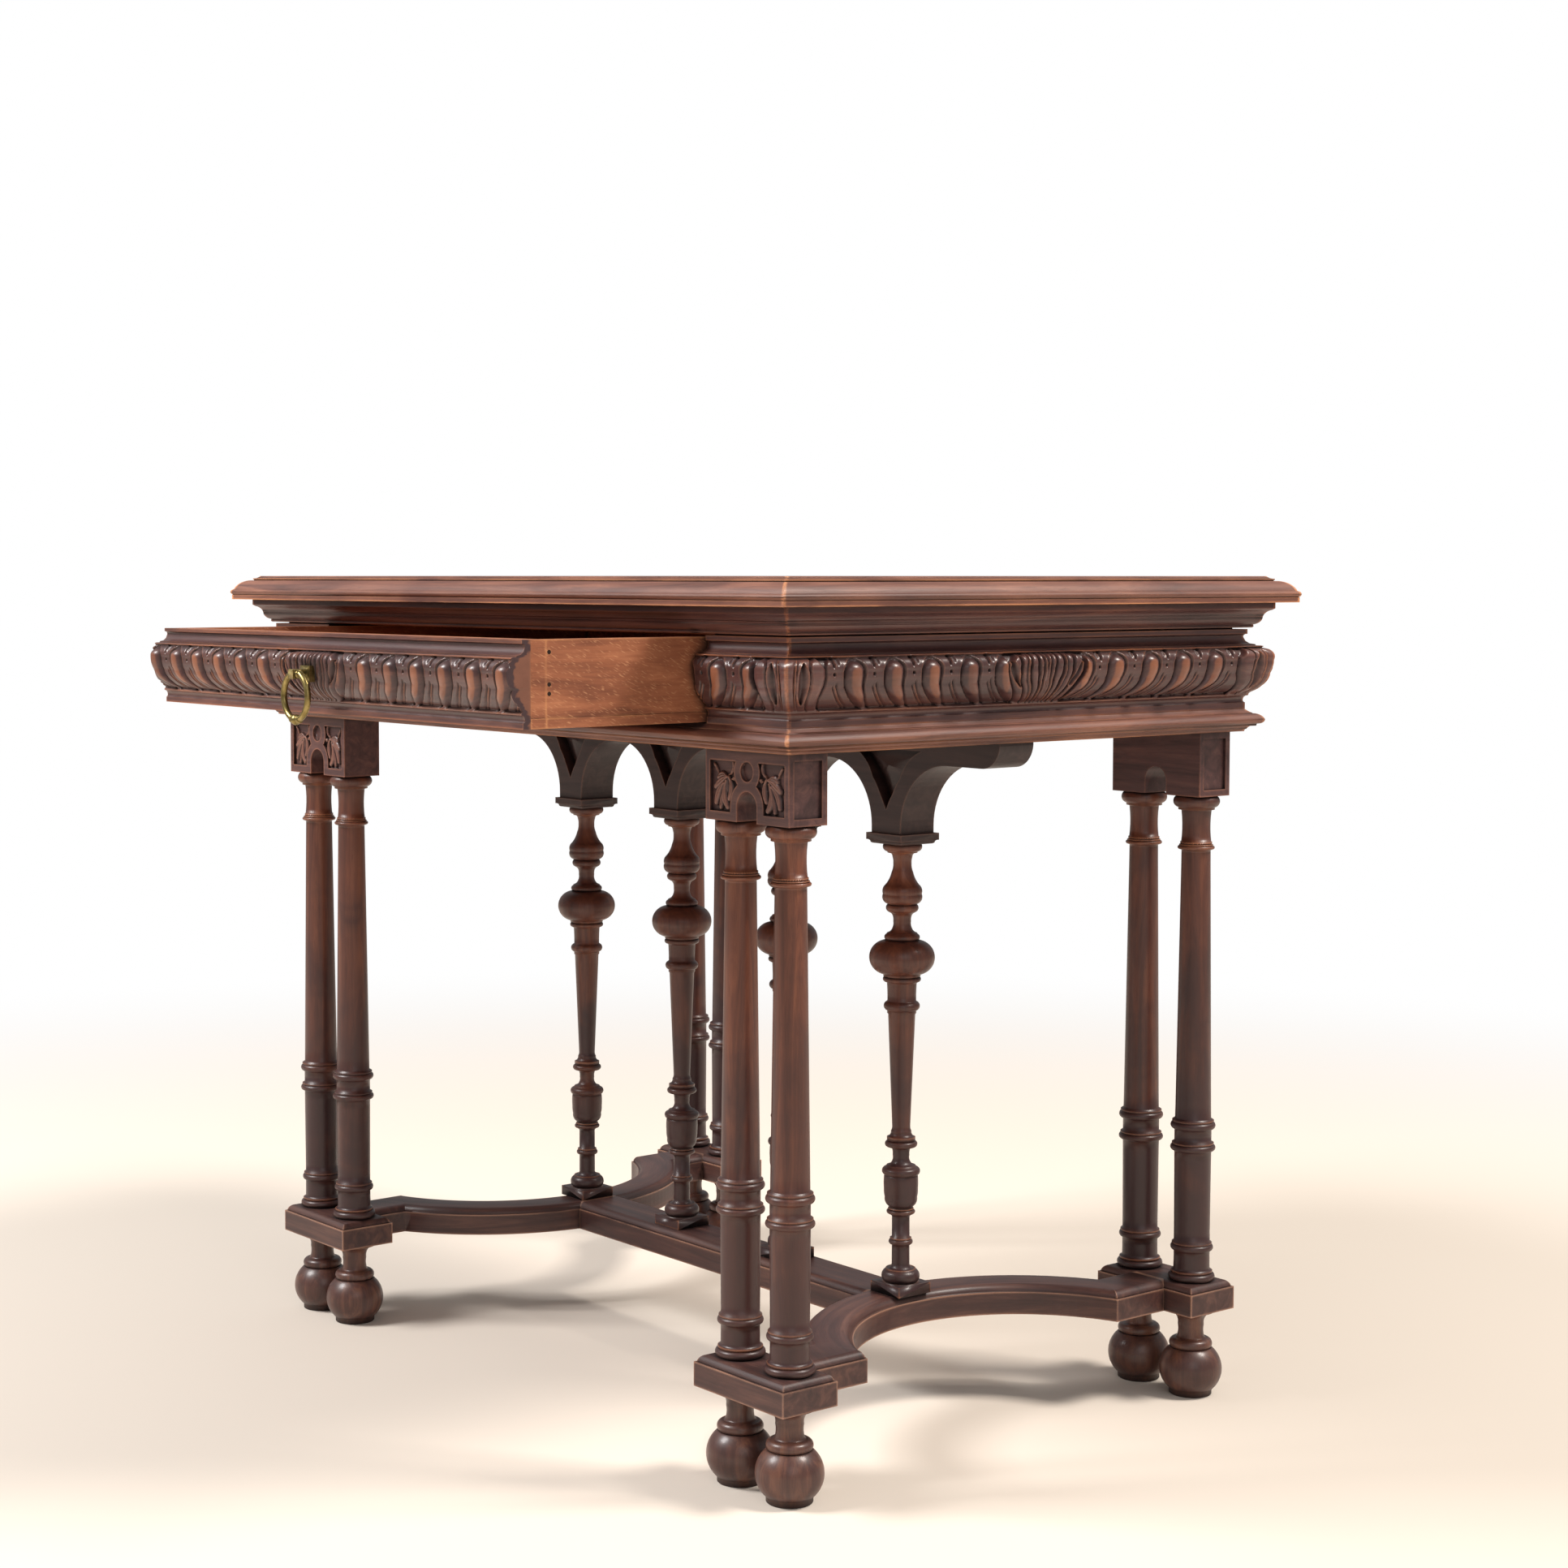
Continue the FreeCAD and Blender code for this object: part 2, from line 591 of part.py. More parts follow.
def beam_rows():
    half = BEAM_BLOCK / 2
    low = BASE_Z - BEAM_H
    spring = low + ARCH_STRAIGHT
    crown = BASE_Z - BEAM_TOP
    nose = crown + NOSE_RISE
    tip = HALF_X - BASE_BOARD + BEAM_LAP
    spots = baluster_spots()
    end_run = ARCH_END_SHARE * (tip - NOSE_RUN - spots[-1] - half)
    rows = [(tip, BASE_Z, 0), (-tip, BASE_Z, 0), (-tip, nose, 0), (-tip + NOSE_RUN, crown, NOSE_BOW_SHARE)]
    for x in spots:
        left = end_run if x == spots[0] else ARCH_RUN
        right = end_run if x == spots[-1] else ARCH_RUN
        rows += [(x - half - left, crown, 0), (x - half, spring, -QUARTER_BOW_SHARE),
                 (x - half, low, 0), (x + half, low, 0), (x + half, spring, 0),
                 (x + half + right, crown, -QUARTER_BOW_SHARE)]
    return rows + [(tip - NOSE_RUN, crown, 0), (tip, nose, NOSE_BOW_SHARE)]


def pocket_rows(x, z):
    right = [(x + side * POCKET_HALF, z + up * POCKET_H, bow) for side, up, bow in POCKET_SHARES]
    bows = [0] + [row[2] for row in reversed(right[1:])]
    left = [(2 * x - row[0], row[1], bow) for row, bow in zip(reversed(right), bows)]
    return right + left[:-1]


def pocket_facets(x, z, floor_y, peak_y):
    peak = Vector(x, peak_y, z + PEAK_UP)
    rim = []
    for across, up, _ in pocket_rows(x, z):
        corner = Vector(across, floor_y, up)
        level = Vector(peak.x, floor_y, peak.z)
        rim.append(level + (corner - level) * FACET_SHARE)
    sides = [Part.makePolygon([a, b, peak, a]) for a, b in zip(rim, rim[1:] + rim[:1])]
    faces = [Part.Face(side) for side in sides] + [Part.Face(Part.makePolygon(rim + rim[:1]))]
    return Part.makeSolid(Part.makeShell(faces))


def arcade_beam():
    half = BEAM_T / 2
    beam = prism(face_through(beam_rows(), across_x), Vector(0, -half, 0), Vector(0, BEAM_T, 0))
    low = BASE_Z - BEAM_H + POCKET_UP
    for x in baluster_spots():
        pocket = face_through(pocket_rows(x, low), across_x)
        for _, face in FACES:
            start = Vector(0, face * (half - POCKET_SINK), 0)
            beam = beam.cut(prism(pocket, start, Vector(0, face * (POCKET_SINK + OVER), 0)))
            facets = pocket_facets(x, low, face * (half - POCKET_SINK), face * (half - PEAK_SINK))
            beam = beam.fuse(facets)
    sockets = [baluster_socket(x, BASE_Z - BEAM_H - CAPITAL_H, UP) for x in baluster_spots()]
    return drilled(beam, sockets).removeSplitter()


# Drawer, drawn open as in the photograph
DRAWER_X = STILE_X - DRAWER_PLAY
DRAWER_LOW = FRIEZE_Z + RAIL_PLAY
DRAWER_HIGH = REVEAL_Z - HEAD_PLAY
LINING_Y = -HALF_Y + FRONT_BOARD - DRAWER_OPEN
SIDE_Y = LINING_Y + LINING_T
TAIL_Y = SIDE_Y + SIDE_LENGTH
SIDE_X = DRAWER_X - BOTTOM_LIP
SIDE_Z = DRAWER_LOW + BOTTOM_T
PULL_Z = DRAWER_LOW + STUB_UP
PLATE_Y = -HALF_Y + FRIEZE_IN - DRAWER_OPEN
PIVOT_Y = PLATE_Y - PLATE_T - STUB_LENGTH + PIVOT_BACK


def plate():
    half = PLATE_W / 2
    return box(-half, half, PLATE_Y - PLATE_T, PLATE_Y + PLATE_SUNK, PULL_Z - PLATE_H / 2,
               PULL_Z + PLATE_H / 2)


def tail_hole():
    return rod(Vector(0, PLATE_Y, PULL_Z), Vector(0, 1, 0), TAIL_R + TENON_FIT, SIDE_Y - PLATE_Y + OVER)


def drawer_front():
    bar = moulded_bar(FRIEZE_SHARES, FRIEZE_IN, FRIEZE_CUT, FRONT_BOARD, FRIEZE_Z, FRIEZE_H, HALF_Y,
                      DRAWER_X)
    front = bar.common(box(-DRAWER_X, DRAWER_X, -HALF_Y, 0, DRAWER_LOW, DRAWER_HIGH))
    front.translate(Vector(0, -DRAWER_OPEN, 0))
    return drilled(front, [plate(), tail_hole()])


def drawer_lining():
    board = box(-SIDE_X, SIDE_X, LINING_Y, SIDE_Y, DRAWER_LOW, DRAWER_HIGH)
    lip = box(-DRAWER_X, DRAWER_X, LINING_Y, SIDE_Y, DRAWER_LOW, SIDE_Z)
    return joined([board, lip]).cut(tail_hole())


def drawer_side(end):
    outer = end * SIDE_X
    inner = end * (SIDE_X - SIDE_T)
    board = box(min(outer, inner), max(outer, inner), SIDE_Y, TAIL_Y, SIDE_Z, DRAWER_HIGH)
    return board.cut(drawer_nails())


def drawer_back():
    inner = SIDE_X - SIDE_T
    return box(-inner, inner, TAIL_Y - BACK_T, TAIL_Y, SIDE_Z, DRAWER_HIGH - BACK_DROP)


def drawer_bottom():
    return box(-DRAWER_X, DRAWER_X, SIDE_Y, TAIL_Y, DRAWER_LOW, SIDE_Z)


def drawer_nails():
    nails = []
    for _, end in ENDS:
        for share in NAIL_UP_SHARES:
            head = Vector(end * SIDE_X, SIDE_Y + NAIL_IN, SIDE_Z + share * (DRAWER_HIGH - SIDE_Z))
            inward = Vector(-end, 0, 0)
            nails.append(joined([rod(head, inward, NAIL_HEAD_R, NAIL_HEAD_T),
                                 rod(head, inward, NAIL_R, NAIL_LENGTH)]))
    return Part.makeCompound(nails)


# Brass ring pull
def pull_boss():
    half = STUB_W / 2
    stub = box(-half, half, PLATE_Y - PLATE_T - STUB_LENGTH, PLATE_Y, PULL_Z - half, PULL_Z + half)
    tail = rod(Vector(0, PLATE_Y, PULL_Z), Vector(0, 1, 0), TAIL_R, SIDE_Y - PLATE_Y + TAIL_NUT_T)
    nut = rod(Vector(0, SIDE_Y, PULL_Z), Vector(0, 1, 0), TAIL_NUT_R, TAIL_NUT_T)
    boss = joined([plate(), stub, tail, nut])
    bore = rod(Vector(-STUB_W, PIVOT_Y, PULL_Z), Vector(1, 0, 0), PIN_R + PIN_FIT, 2 * STUB_W)
    return boss.cut(bore)


def pull_ring():
    inner = STUB_W / 2 + COLLAR_GAP
    outer = inner + COLLAR_T
    drop = math.sqrt(RING_R ** 2 - outer ** 2)
    centre = Vector(0, PIVOT_Y, PULL_Z - drop)
    start = math.asin((inner + COLLAR_T / 2) / RING_R)
    radial = Vector(math.sin(start), 0, math.cos(start))
    tangent = Vector(math.cos(start), 0, -math.sin(start))
    disc = Part.Face(Part.Wire(Part.makeCircle(RING_WIRE_R, centre + radial * RING_R, tangent)))
    hoop = disc.revolve(centre, Vector(0, 1, 0), 360 - 2 * math.degrees(start))
    pieces = [hoop, Part.makeSphere(BALL_R, centre - UP * RING_R, Vector(1, 0, 0))]
    for _, end in ENDS:
        angle = math.radians(end * BALL_COLLAR_ANGLE)
        spot = centre + Vector(math.sin(angle), 0, -math.cos(angle)) * RING_R
        along = Vector(math.cos(angle), 0, math.sin(angle))
        pieces.append(rod(spot - along * (BALL_COLLAR_T / 2), along, BALL_COLLAR_R, BALL_COLLAR_T))
    for _, end in ENDS:
        seat = Vector(end * inner, PIVOT_Y, PULL_Z)
        pieces.append(rod(seat, Vector(end, 0, 0), COLLAR_R, COLLAR_T))
    pieces.append(rod(Vector(-outer, PIVOT_Y, PULL_Z), Vector(1, 0, 0), PIN_R, 2 * outer))
    return joined(pieces)


# What carries, guides and stops the drawer
def drawer_runners():
    top = DRAWER_LOW - RUN_GAP
    reach_x = HALF_X - BASE_BOARD
    reach_y = HALF_Y - BASE_BOARD
    pair = []
    for _, end in ENDS:
        near = end * (STILE_X - RUNNER_IN)
        far = end * reach_x
        pair.append(box(min(near, far), max(near, far), -reach_y, reach_y, top - RUNNER_H, top))
    return Part.makeCompound(pair)


def drawer_guides():
    low = DRAWER_LOW - RUN_GAP
    reach = HALF_Y - FRIEZE_BOARD
    pair = []
    for _, end in ENDS:
        near = end * STILE_X
        far = end * (STILE_X + GUIDE_W)
        pair.append(box(min(near, far), max(near, far), -reach, reach, low, low + GUIDE_H))
    return Part.makeCompound(pair)


def drawer_stops():
    shut_y = TAIL_Y + DRAWER_OPEN + RUN_GAP
    pair = []
    for _, end in ENDS:
        near = end * (STILE_X - STOP_W)
        far = end * STILE_X
        pair.append(box(min(near, far), max(near, far), shut_y, HALF_Y - FRIEZE_BOARD, FRIEZE_Z,
                        FRIEZE_Z + STOP_H))
    return Part.makeCompound(pair)


def kicker_rail():
    reach = HALF_X - CORNICE_BOARD
    front = -HALF_Y + CORNICE_BOARD
    return box(-reach, reach, front, front + KICKER_W, DRAWER_HIGH + KICKER_GAP, TOP_Z)


# Top
panel = top_panel()
save("top_panel", panel)
for side, rail in four_sides(top_side).items():
    save("top_frame_" + side, rail.cut(panel))
for side, rail in four_sides(cornice_side).items():
    save("cornice_" + side, rail)

# Frame under the top
for side, rail in four_sides(base_side).items():
    save("base_mould_" + side, rail)
frieze = four_sides(frieze_side)
for side in ("left", "right", "rear"):
    save("frieze_" + side, frieze[side])
for side, end in ENDS:
    save("frieze_stile_" + side, frieze_stile(frieze["front"], end))
save("kicker_rail", kicker_rail())
save("drawer_runners", drawer_runners())
save("drawer_guides", drawer_guides())
save("drawer_stops", drawer_stops())

# Drawer
save("drawer_front", drawer_front())
save("drawer_lining", drawer_lining())
for side, end in ENDS:
    save("drawer_side_" + side, drawer_side(end))
save("drawer_back", drawer_back())
save("drawer_bottom", drawer_bottom())
save("drawer_nails", drawer_nails())
save("pull_boss", pull_boss())
save("pull_ring", pull_ring())

# Stand
for side, end in ENDS:
    save("yoke_" + side, yoke(end))
    for wall, face in FACES:
        corner = wall + "_" + side
        save("corner_block_" + corner, corner_block(end, face))
        save("plinth_" + corner, plinth(end, face))
        feet = [foot(x, y) for _, x, y in pair_spots(end, face)]
        save("feet_" + corner, Part.makeCompound(feet))
        for place, x, y in pair_spots(end, face):
            save("column_" + corner + "_" + place, column(x, y))
save("centre_stretcher", centre_stretcher())
for number, x in enumerate(baluster_spots()):
    save("baluster_" + str(number + 1), baluster(x))
save("arcade_capitals", Part.makeCompound([arcade_capital(x) for x in baluster_spots()]))
save("arcade_beam", arcade_beam())
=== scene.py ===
# %% [markdown]
# # A writing desk with turned legs and a carved frieze
# The desk is dark polished walnut: a moulded top, a carved frieze with one long drawer, four pairs of
# turned columns on ball feet, and a low arcade on the stretcher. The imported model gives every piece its
# place and size. This notebook carves what the solids leave plain, smooths what is turned, and gives each
# wood and metal its finish.

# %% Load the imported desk
import math

import bmesh
import bpy
import numpy as np
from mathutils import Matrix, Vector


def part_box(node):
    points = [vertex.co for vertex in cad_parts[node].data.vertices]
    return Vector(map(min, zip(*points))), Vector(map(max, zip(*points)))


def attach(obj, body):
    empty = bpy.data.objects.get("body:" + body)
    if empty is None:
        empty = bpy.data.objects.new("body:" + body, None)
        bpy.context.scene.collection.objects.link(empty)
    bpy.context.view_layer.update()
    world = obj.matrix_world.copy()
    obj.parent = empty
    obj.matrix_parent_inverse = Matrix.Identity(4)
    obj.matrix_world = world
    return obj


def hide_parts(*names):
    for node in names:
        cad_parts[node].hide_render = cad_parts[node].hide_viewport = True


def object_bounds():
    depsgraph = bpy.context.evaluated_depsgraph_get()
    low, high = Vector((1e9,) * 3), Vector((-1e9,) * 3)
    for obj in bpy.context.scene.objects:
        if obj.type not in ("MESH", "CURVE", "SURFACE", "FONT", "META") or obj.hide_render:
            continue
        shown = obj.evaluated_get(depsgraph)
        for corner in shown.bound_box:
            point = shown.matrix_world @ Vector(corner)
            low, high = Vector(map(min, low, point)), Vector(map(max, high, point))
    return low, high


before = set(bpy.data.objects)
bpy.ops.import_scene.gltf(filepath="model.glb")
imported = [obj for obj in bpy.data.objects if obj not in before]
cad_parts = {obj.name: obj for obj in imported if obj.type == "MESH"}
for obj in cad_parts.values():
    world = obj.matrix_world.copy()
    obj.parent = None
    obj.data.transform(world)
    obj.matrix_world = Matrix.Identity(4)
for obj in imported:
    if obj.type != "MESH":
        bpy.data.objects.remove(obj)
packed_box = [list(corner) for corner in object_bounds()]
MM = 0.001
FLOOR = packed_box[0][2]
print("packed desk:", [[round(v, 4) for v in corner] for corner in packed_box])

# %% [markdown]
# ## Shader maths as plain expressions
# A finish is many small sums on masks. Wiring Math nodes by hand hides them, so one class wraps a socket
# and lets Python's own signs add the nodes, and a second class makes any other node from its settings and
# sockets.


# %% A socket that can be added and multiplied
class Flow:
    """One output of a shader node; plus, minus and times on it add Math nodes."""

    def __init__(self, finish, socket):
        self.finish = finish
        self.socket = socket

    def sum(self, operation, first, second):
        return self.finish.node("ShaderNodeMath", {"operation": operation}, {0: first, 1: second})

    def __add__(self, other):
        return self.sum("ADD", self, other)

    def __radd__(self, other):
        return self.sum("ADD", other, self)

    def __sub__(self, other):
        return self.sum("SUBTRACT", self, other)

    def __rsub__(self, other):
        return self.sum("SUBTRACT", other, self)

    def __mul__(self, other):
        return self.sum("MULTIPLY", self, other)

    def __rmul__(self, other):
        return self.sum("MULTIPLY", other, self)


# %% A finish and the one way it makes nodes
MIX_SHARE, MIX_FIRST, MIX_SECOND, MIX_RESULT = 0, 6, 7, 2


class Finish:
    """A material under construction."""

    def __init__(self, name):
        self.material = bpy.data.materials.new(name)
        self.material.use_nodes = True
        self.tree = self.material.node_tree
        self.tree.nodes.clear()

    def node(self, kind, settings, sockets, out=0):
        """Any node: its settings first, then the values or links of its sockets."""
        made = self.tree.nodes.new(kind)
        for name, value in settings.items():
            if name == "stops":
                set_stops(made.color_ramp, value)
            else:
                setattr(made, name, value)
        for name, value in sockets.items():
            if isinstance(value, Flow):
                self.tree.links.new(value.socket, made.inputs[name])
            else:
                made.inputs[name].default_value = value
        return Flow(self, made.outputs[out]) if len(made.outputs) else made

    def noise(self, place, scale, detail, rough, twist=0.0):
        return self.node("ShaderNodeTexNoise", {}, {
            "Vector": place, "Scale": scale, "Detail": detail, "Roughness": rough, "Distortion": twist})

    def place(self):
        """Where a point lies on the desk, in metres."""
        return self.node("ShaderNodeTexCoord", {}, {}, out="Object")

    def stretch(self, place, scale, turn=(0, 0, 0)):
        return self.node("ShaderNodeMapping", {}, {"Vector": place, "Scale": scale, "Rotation": turn})

    def between(self, value, low, high):
        """0 below low, 1 above high, smooth between."""
        sockets = {"Value": value, "From Min": low, "From Max": high}
        return self.node("ShaderNodeMapRange", {"interpolation_type": "SMOOTHSTEP"}, sockets)

    def mix(self, share, first, second):
        sockets = {MIX_SHARE: share, MIX_FIRST: first, MIX_SECOND: second}
        return self.node("ShaderNodeMix", {"data_type": "RGBA"}, sockets, out=MIX_RESULT)

    def marked(self, attribute, out="Fac"):
        """What a named attribute of the mesh says at each point."""
        return self.node("ShaderNodeAttribute", {"attribute_name": attribute}, {}, out=out)

    def bump(self, height, strength, reach):
        return self.node("ShaderNodeBump", {}, {"Height": height, "Strength": strength, "Distance": reach})

    def ramp(self, value, stops):
        return self.node("ShaderNodeValToRGB", {"stops": stops}, {"Fac": value})

    def done(self, sockets):
        shader = self.node("ShaderNodeBsdfPrincipled", {}, sockets)
        self.node("ShaderNodeOutputMaterial", {}, {"Surface": shader})
        return self.material


def set_stops(ramp, stops):
    while len(ramp.elements) < len(stops):
        ramp.elements.new(0.5)
    for element, (position, colour) in zip(ramp.elements, stops):
        element.position = position
        element.color = colour


def tone(red, green, blue):
    """A colour as it is read off a screen, 0 to 255, in the linear numbers that the nodes take."""
    shares = [value / 255 for value in (red, green, blue)]
    linear = [s / 12.92 if s <= 0.04045 else ((s + 0.055) / 1.055) ** 2.4 for s in shares]
    return (*linear, 1.0)


print("shader helpers ready")

# %% [markdown]
# ## Old polished walnut
# The real wood is walnut darkened by age: a purple-brown ground, lighter where hands and dusters have
# rubbed the edges. The hollows and the places where pieces meet are painted nearly black, partly as dark
# wax and partly as painted shade. One picture of wood could not follow the run of each board, so the grain
# is noise stretched along the board, and two ambient-occlusion readings find the hollows and the proud
# edges on any shape. Each kind of piece has its own five tones: the stand is darker than the top, and the
# arcade, deep under the desk, has the darkest tones, which are painted shade. The columns and feet also
# take dark patches, a darkening low on the shafts, and painted shade that grows away from the near front
# right corner. Where the carver cut, what was left proud and how far the drawer's end lies behind its face
# can't be read off a shape, so the carved boards keep these as attributes, and the finish looks them up.

# %% Walnut
GRAIN = {"x": (5.0, 70.0, 70.0), "y": (70.0, 5.0, 70.0), "z": (70.0, 70.0, 5.0)}
FIBRE = {"x": (60.0, 1300.0, 1300.0), "y": (1300.0, 60.0, 1300.0), "z": (1300.0, 1300.0, 60.0)}
AO_SAMPLES = 6
HOLLOW_REACH = 9 * MM
HOLLOW_RANGE = (0.25, 0.95)
EDGE_REACH = 2.2 * MM
EDGE_RANGE = (0.50, 0.93)


def hollow_mask(finish, reach=HOLLOW_REACH):
    """1 deep in a hollow, 0 in the open."""
    settings = {"samples": AO_SAMPLES}
    open_share = finish.node("ShaderNodeAmbientOcclusion", settings, {"Distance": reach}, out="AO")
    return 1.0 - finish.between(open_share, *HOLLOW_RANGE)


def edge_mask(finish):
    """1 on a proud edge, 0 away from it."""
    settings = {"samples": AO_SAMPLES, "inside": True, "only_local": True}
    buried = finish.node("ShaderNodeAmbientOcclusion", settings, {"Distance": EDGE_REACH}, out="AO")
    return 1.0 - finish.between(buried, *EDGE_RANGE)


END_X = 0.2985
END_SOFT = 0.2 * MM
STAIN_RANGE = (12.5, 15.0)
STAIN_WANDER = 15.0
BARE_DARK, BARE_LIGHT = tone(104, 66, 52), tone(142, 92, 68)
STAIN = tone(46, 34, 42)


def end_stain(finish, place, wood, cloud):
    """Bare end grain at the right end of the drawer's front, with dark polish that ran over its edge."""
    across = finish.node("ShaderNodeSeparateXYZ", {}, {"Vector": place}, out="X")
    end = finish.between(across, END_X - END_SOFT, END_X + END_SOFT)
    blot = finish.noise(place, 110.0, detail=4.0, rough=0.65)
    ran = 1.0 - finish.between(finish.marked("inset") + blot * STAIN_WANDER, *STAIN_RANGE)
    wood = finish.mix(end * 0.7, wood, finish.mix(cloud, BARE_DARK, BARE_LIGHT))
    return finish.mix(end * ran * 0.85, wood, STAIN)


# painted shade: a piece is painted darker the farther it stands from this near front right corner
UNSHADED_CORNER = (0.36, -0.24, -0.30)
SHADE_RANGE = (0.18, 0.42)
FOOT_TOP = FLOOR + 0.07
SHAFT_FOOT = FLOOR + 0.12
SHAFT_MIDDLE = FLOOR + 0.50
PATCH_RANGE = (0.46, 0.82)
SMOKE_AND_SHADE = tone(56, 34, 34)


def polish_patches_and_shade(finish, place, wood, cloud, share):
    """Dark patches of polish, darker low on the shafts, and painted shade that grows the farther a piece
    stands from the near front right corner.
    """
    up = finish.node("ShaderNodeSeparateXYZ", {}, {"Vector": place}, out="Z")
    away = finish.node("ShaderNodeVectorMath", {"operation": "DISTANCE"}, {0: place, 1: UNSHADED_CORNER},
                       out="Value")
    # darker towards the foot of the shafts, fading out by their middle
    low = finish.between(up, FOOT_TOP, SHAFT_FOOT) * (1.0 - finish.between(up, SHAFT_FOOT, SHAFT_MIDDLE))
    patch = finish.noise(place, 11.0, detail=3.0, rough=0.6, twist=0.8)
    patches_and_shade = finish.between(low * 0.34 + patch * 0.75 + cloud * 0.25, *PATCH_RANGE)
    # painted shade: darker away from the near front right corner
    patches_and_shade = patches_and_shade + finish.between(away, *SHADE_RANGE) * 0.3
    return finish.mix(patches_and_shade * share, wood, SMOKE_AND_SHADE)


PORES = (0.56, 0.72)
WOOD_STOPS = (0.34, 0.52, 0.70)
RUBBED = (0.42, 0.85)
CUT_RANGE = (0.4, 3.4)
PROUD_RANGE = (0.3, 0.95)
PROUD_CLOUD = (0.22, 0.60)


def walnut(name, run, tones, rough=0.34, wear=0.8, gloss=0.12, carved=False, bent=False, stained=False,
           smoke_and_shade=0.0, sunk=0.35):
    """Walnut with its grain along run, in five tones: dark, middle, light, worn, and the near black that
    the hollows are painted, partly dark wax and partly painted shade.

    Its darkening share sets how much of the dark patches, the darkening low on the shafts and the painted
    shade away from the near front right corner the piece takes, and sunk how dark the ground of its
    carving is.
    """
    finish = Finish(name)
    dark, middle, light, worn, wax_and_shade = tones
    place = finish.marked("grain", out="Vector") if bent else finish.place()
    figure = finish.noise(finish.stretch(place, GRAIN[run]), 1.0, detail=5.0, rough=0.62, twist=1.2)
    fibre = finish.noise(finish.stretch(place, FIBRE[run]), 1.0, detail=2.0, rough=0.6)
    cloud = finish.noise(place, 7.0, detail=3.0, rough=0.55)
    pores = finish.between(fibre, *PORES)
    streak = figure * 0.62 + fibre * 0.14 + cloud * 0.28
    wood = finish.ramp(streak, list(zip(WOOD_STOPS, (dark, middle, light))))
    wood = finish.mix(pores * 0.45, wood, dark)
    rubbed = edge_mask(finish) * finish.between(cloud + fibre * 0.35, *RUBBED) * wear
    hollow = hollow_mask(finish)
    if smoke_and_shade:
        wood = polish_patches_and_shade(finish, place, wood, cloud, smoke_and_shade)
    if carved:
        wood = finish.mix(finish.between(finish.marked("carved"), *CUT_RANGE) * sunk, wood, dark)
        proud = finish.between(finish.marked("proud"), *PROUD_RANGE) * finish.between(cloud, *PROUD_CLOUD)
        wood = finish.mix(proud * 0.46, wood, worn)
    wood = finish.mix(rubbed, wood, worn)
    if stained:
        wood = end_stain(finish, place, wood, cloud)
    # Hollows and the places where pieces meet are painted near black: partly dark wax, partly painted
    # shade.
    wood = finish.mix(hollow * 0.9, wood, wax_and_shade)
    height = figure * 0.5 + fibre * 0.35 - pores * 0.6
    relief = finish.bump(height, 0.22, 0.35 * MM)
    polish = rough + fibre * 0.10 + cloud * 0.10 + hollow * 0.22 - rubbed * 0.06
    return finish.done({"Base Color": wood, "Roughness": polish, "Normal": relief,
                        "Coat Weight": gloss * (1.0 - hollow), "Coat Roughness": 0.22, "IOR": 1.46})


WALNUT_TONES = (tone(50, 29, 31), tone(84, 52, 49), tone(124, 80, 67), tone(176, 108, 68), tone(18, 8, 10))
TOP_TONES = (tone(66, 38, 34), tone(110, 68, 55), tone(150, 100, 79), tone(204, 138, 94), tone(28, 14, 14))
# the arcade's darkest tones are painted shade, for its place deep under the desk
SHADE_TONES = (tone(33, 21, 23), tone(50, 34, 34), tone(70, 50, 48), tone(108, 76, 64), tone(15, 8, 10))
BLOCK_TONES = (tone(44, 26, 27), tone(78, 50, 49), tone(112, 76, 68), tone(154, 102, 80), tone(16, 8, 9))
COLUMN_TONES = (tone(52, 27, 23), tone(100, 56, 41), tone(140, 84, 58), tone(184, 120, 84),
                tone(22, 10, 10))
FOOT_TONES = (tone(40, 24, 24), tone(70, 44, 40), tone(102, 68, 57), tone(166, 124, 102), tone(18, 10, 11))
BALL_TONES = (tone(48, 27, 24), tone(88, 54, 44), tone(136, 88, 64), tone(182, 130, 96), tone(20, 10, 10))
walnut_across = walnut("walnut_across", "x", WALNUT_TONES)
walnut_deep = walnut("walnut_deep", "y", WALNUT_TONES)
walnut_upright = walnut("walnut_upright", "z", COLUMN_TONES, 0.30, smoke_and_shade=0.78)
walnut_bent = walnut("walnut_bent", "y", FOOT_TONES, 0.36, wear=1.3, bent=True)
foot_upright = walnut("walnut_feet", "z", BALL_TONES, 0.34, gloss=0.3, smoke_and_shade=0.7)
foot_across = walnut("walnut_plinths", "x", FOOT_TONES, 0.38, wear=1.3)
top_across = walnut("walnut_top_across", "x", TOP_TONES, 0.42, wear=1.2)
top_deep = walnut("walnut_top_deep", "y", TOP_TONES, 0.42, wear=1.2)
carved_across = walnut("walnut_carved_across", "x", WALNUT_TONES, 0.30, gloss=0.3, carved=True)
carved_deep = walnut("walnut_carved_deep", "y", WALNUT_TONES, 0.30, gloss=0.3, carved=True, sunk=0.42)
carved_front = walnut("walnut_drawer_front", "x", WALNUT_TONES, 0.30, gloss=0.3, carved=True, stained=True)
shade_across = walnut("walnut_arcade", "x", SHADE_TONES, 0.42)
block_across = walnut("walnut_blocks", "x", BLOCK_TONES, 0.36)
spray_across = walnut("walnut_sprays", "x", BLOCK_TONES, 0.32, gloss=0.25, carved=True, sunk=0.9)
print("walnut: three runs of grain, with plain, rubbed, carved, bent, smoked and shaded boards")

# %% [markdown]
# ## Oak, brass and iron
# The drawer's sides and floor are oak, orange-brown with age, and sawn so that pale ray flecks cross the
# grain on the slant. The ring pull is brass gone dull in its corners, and the nails are iron, almost
# black.

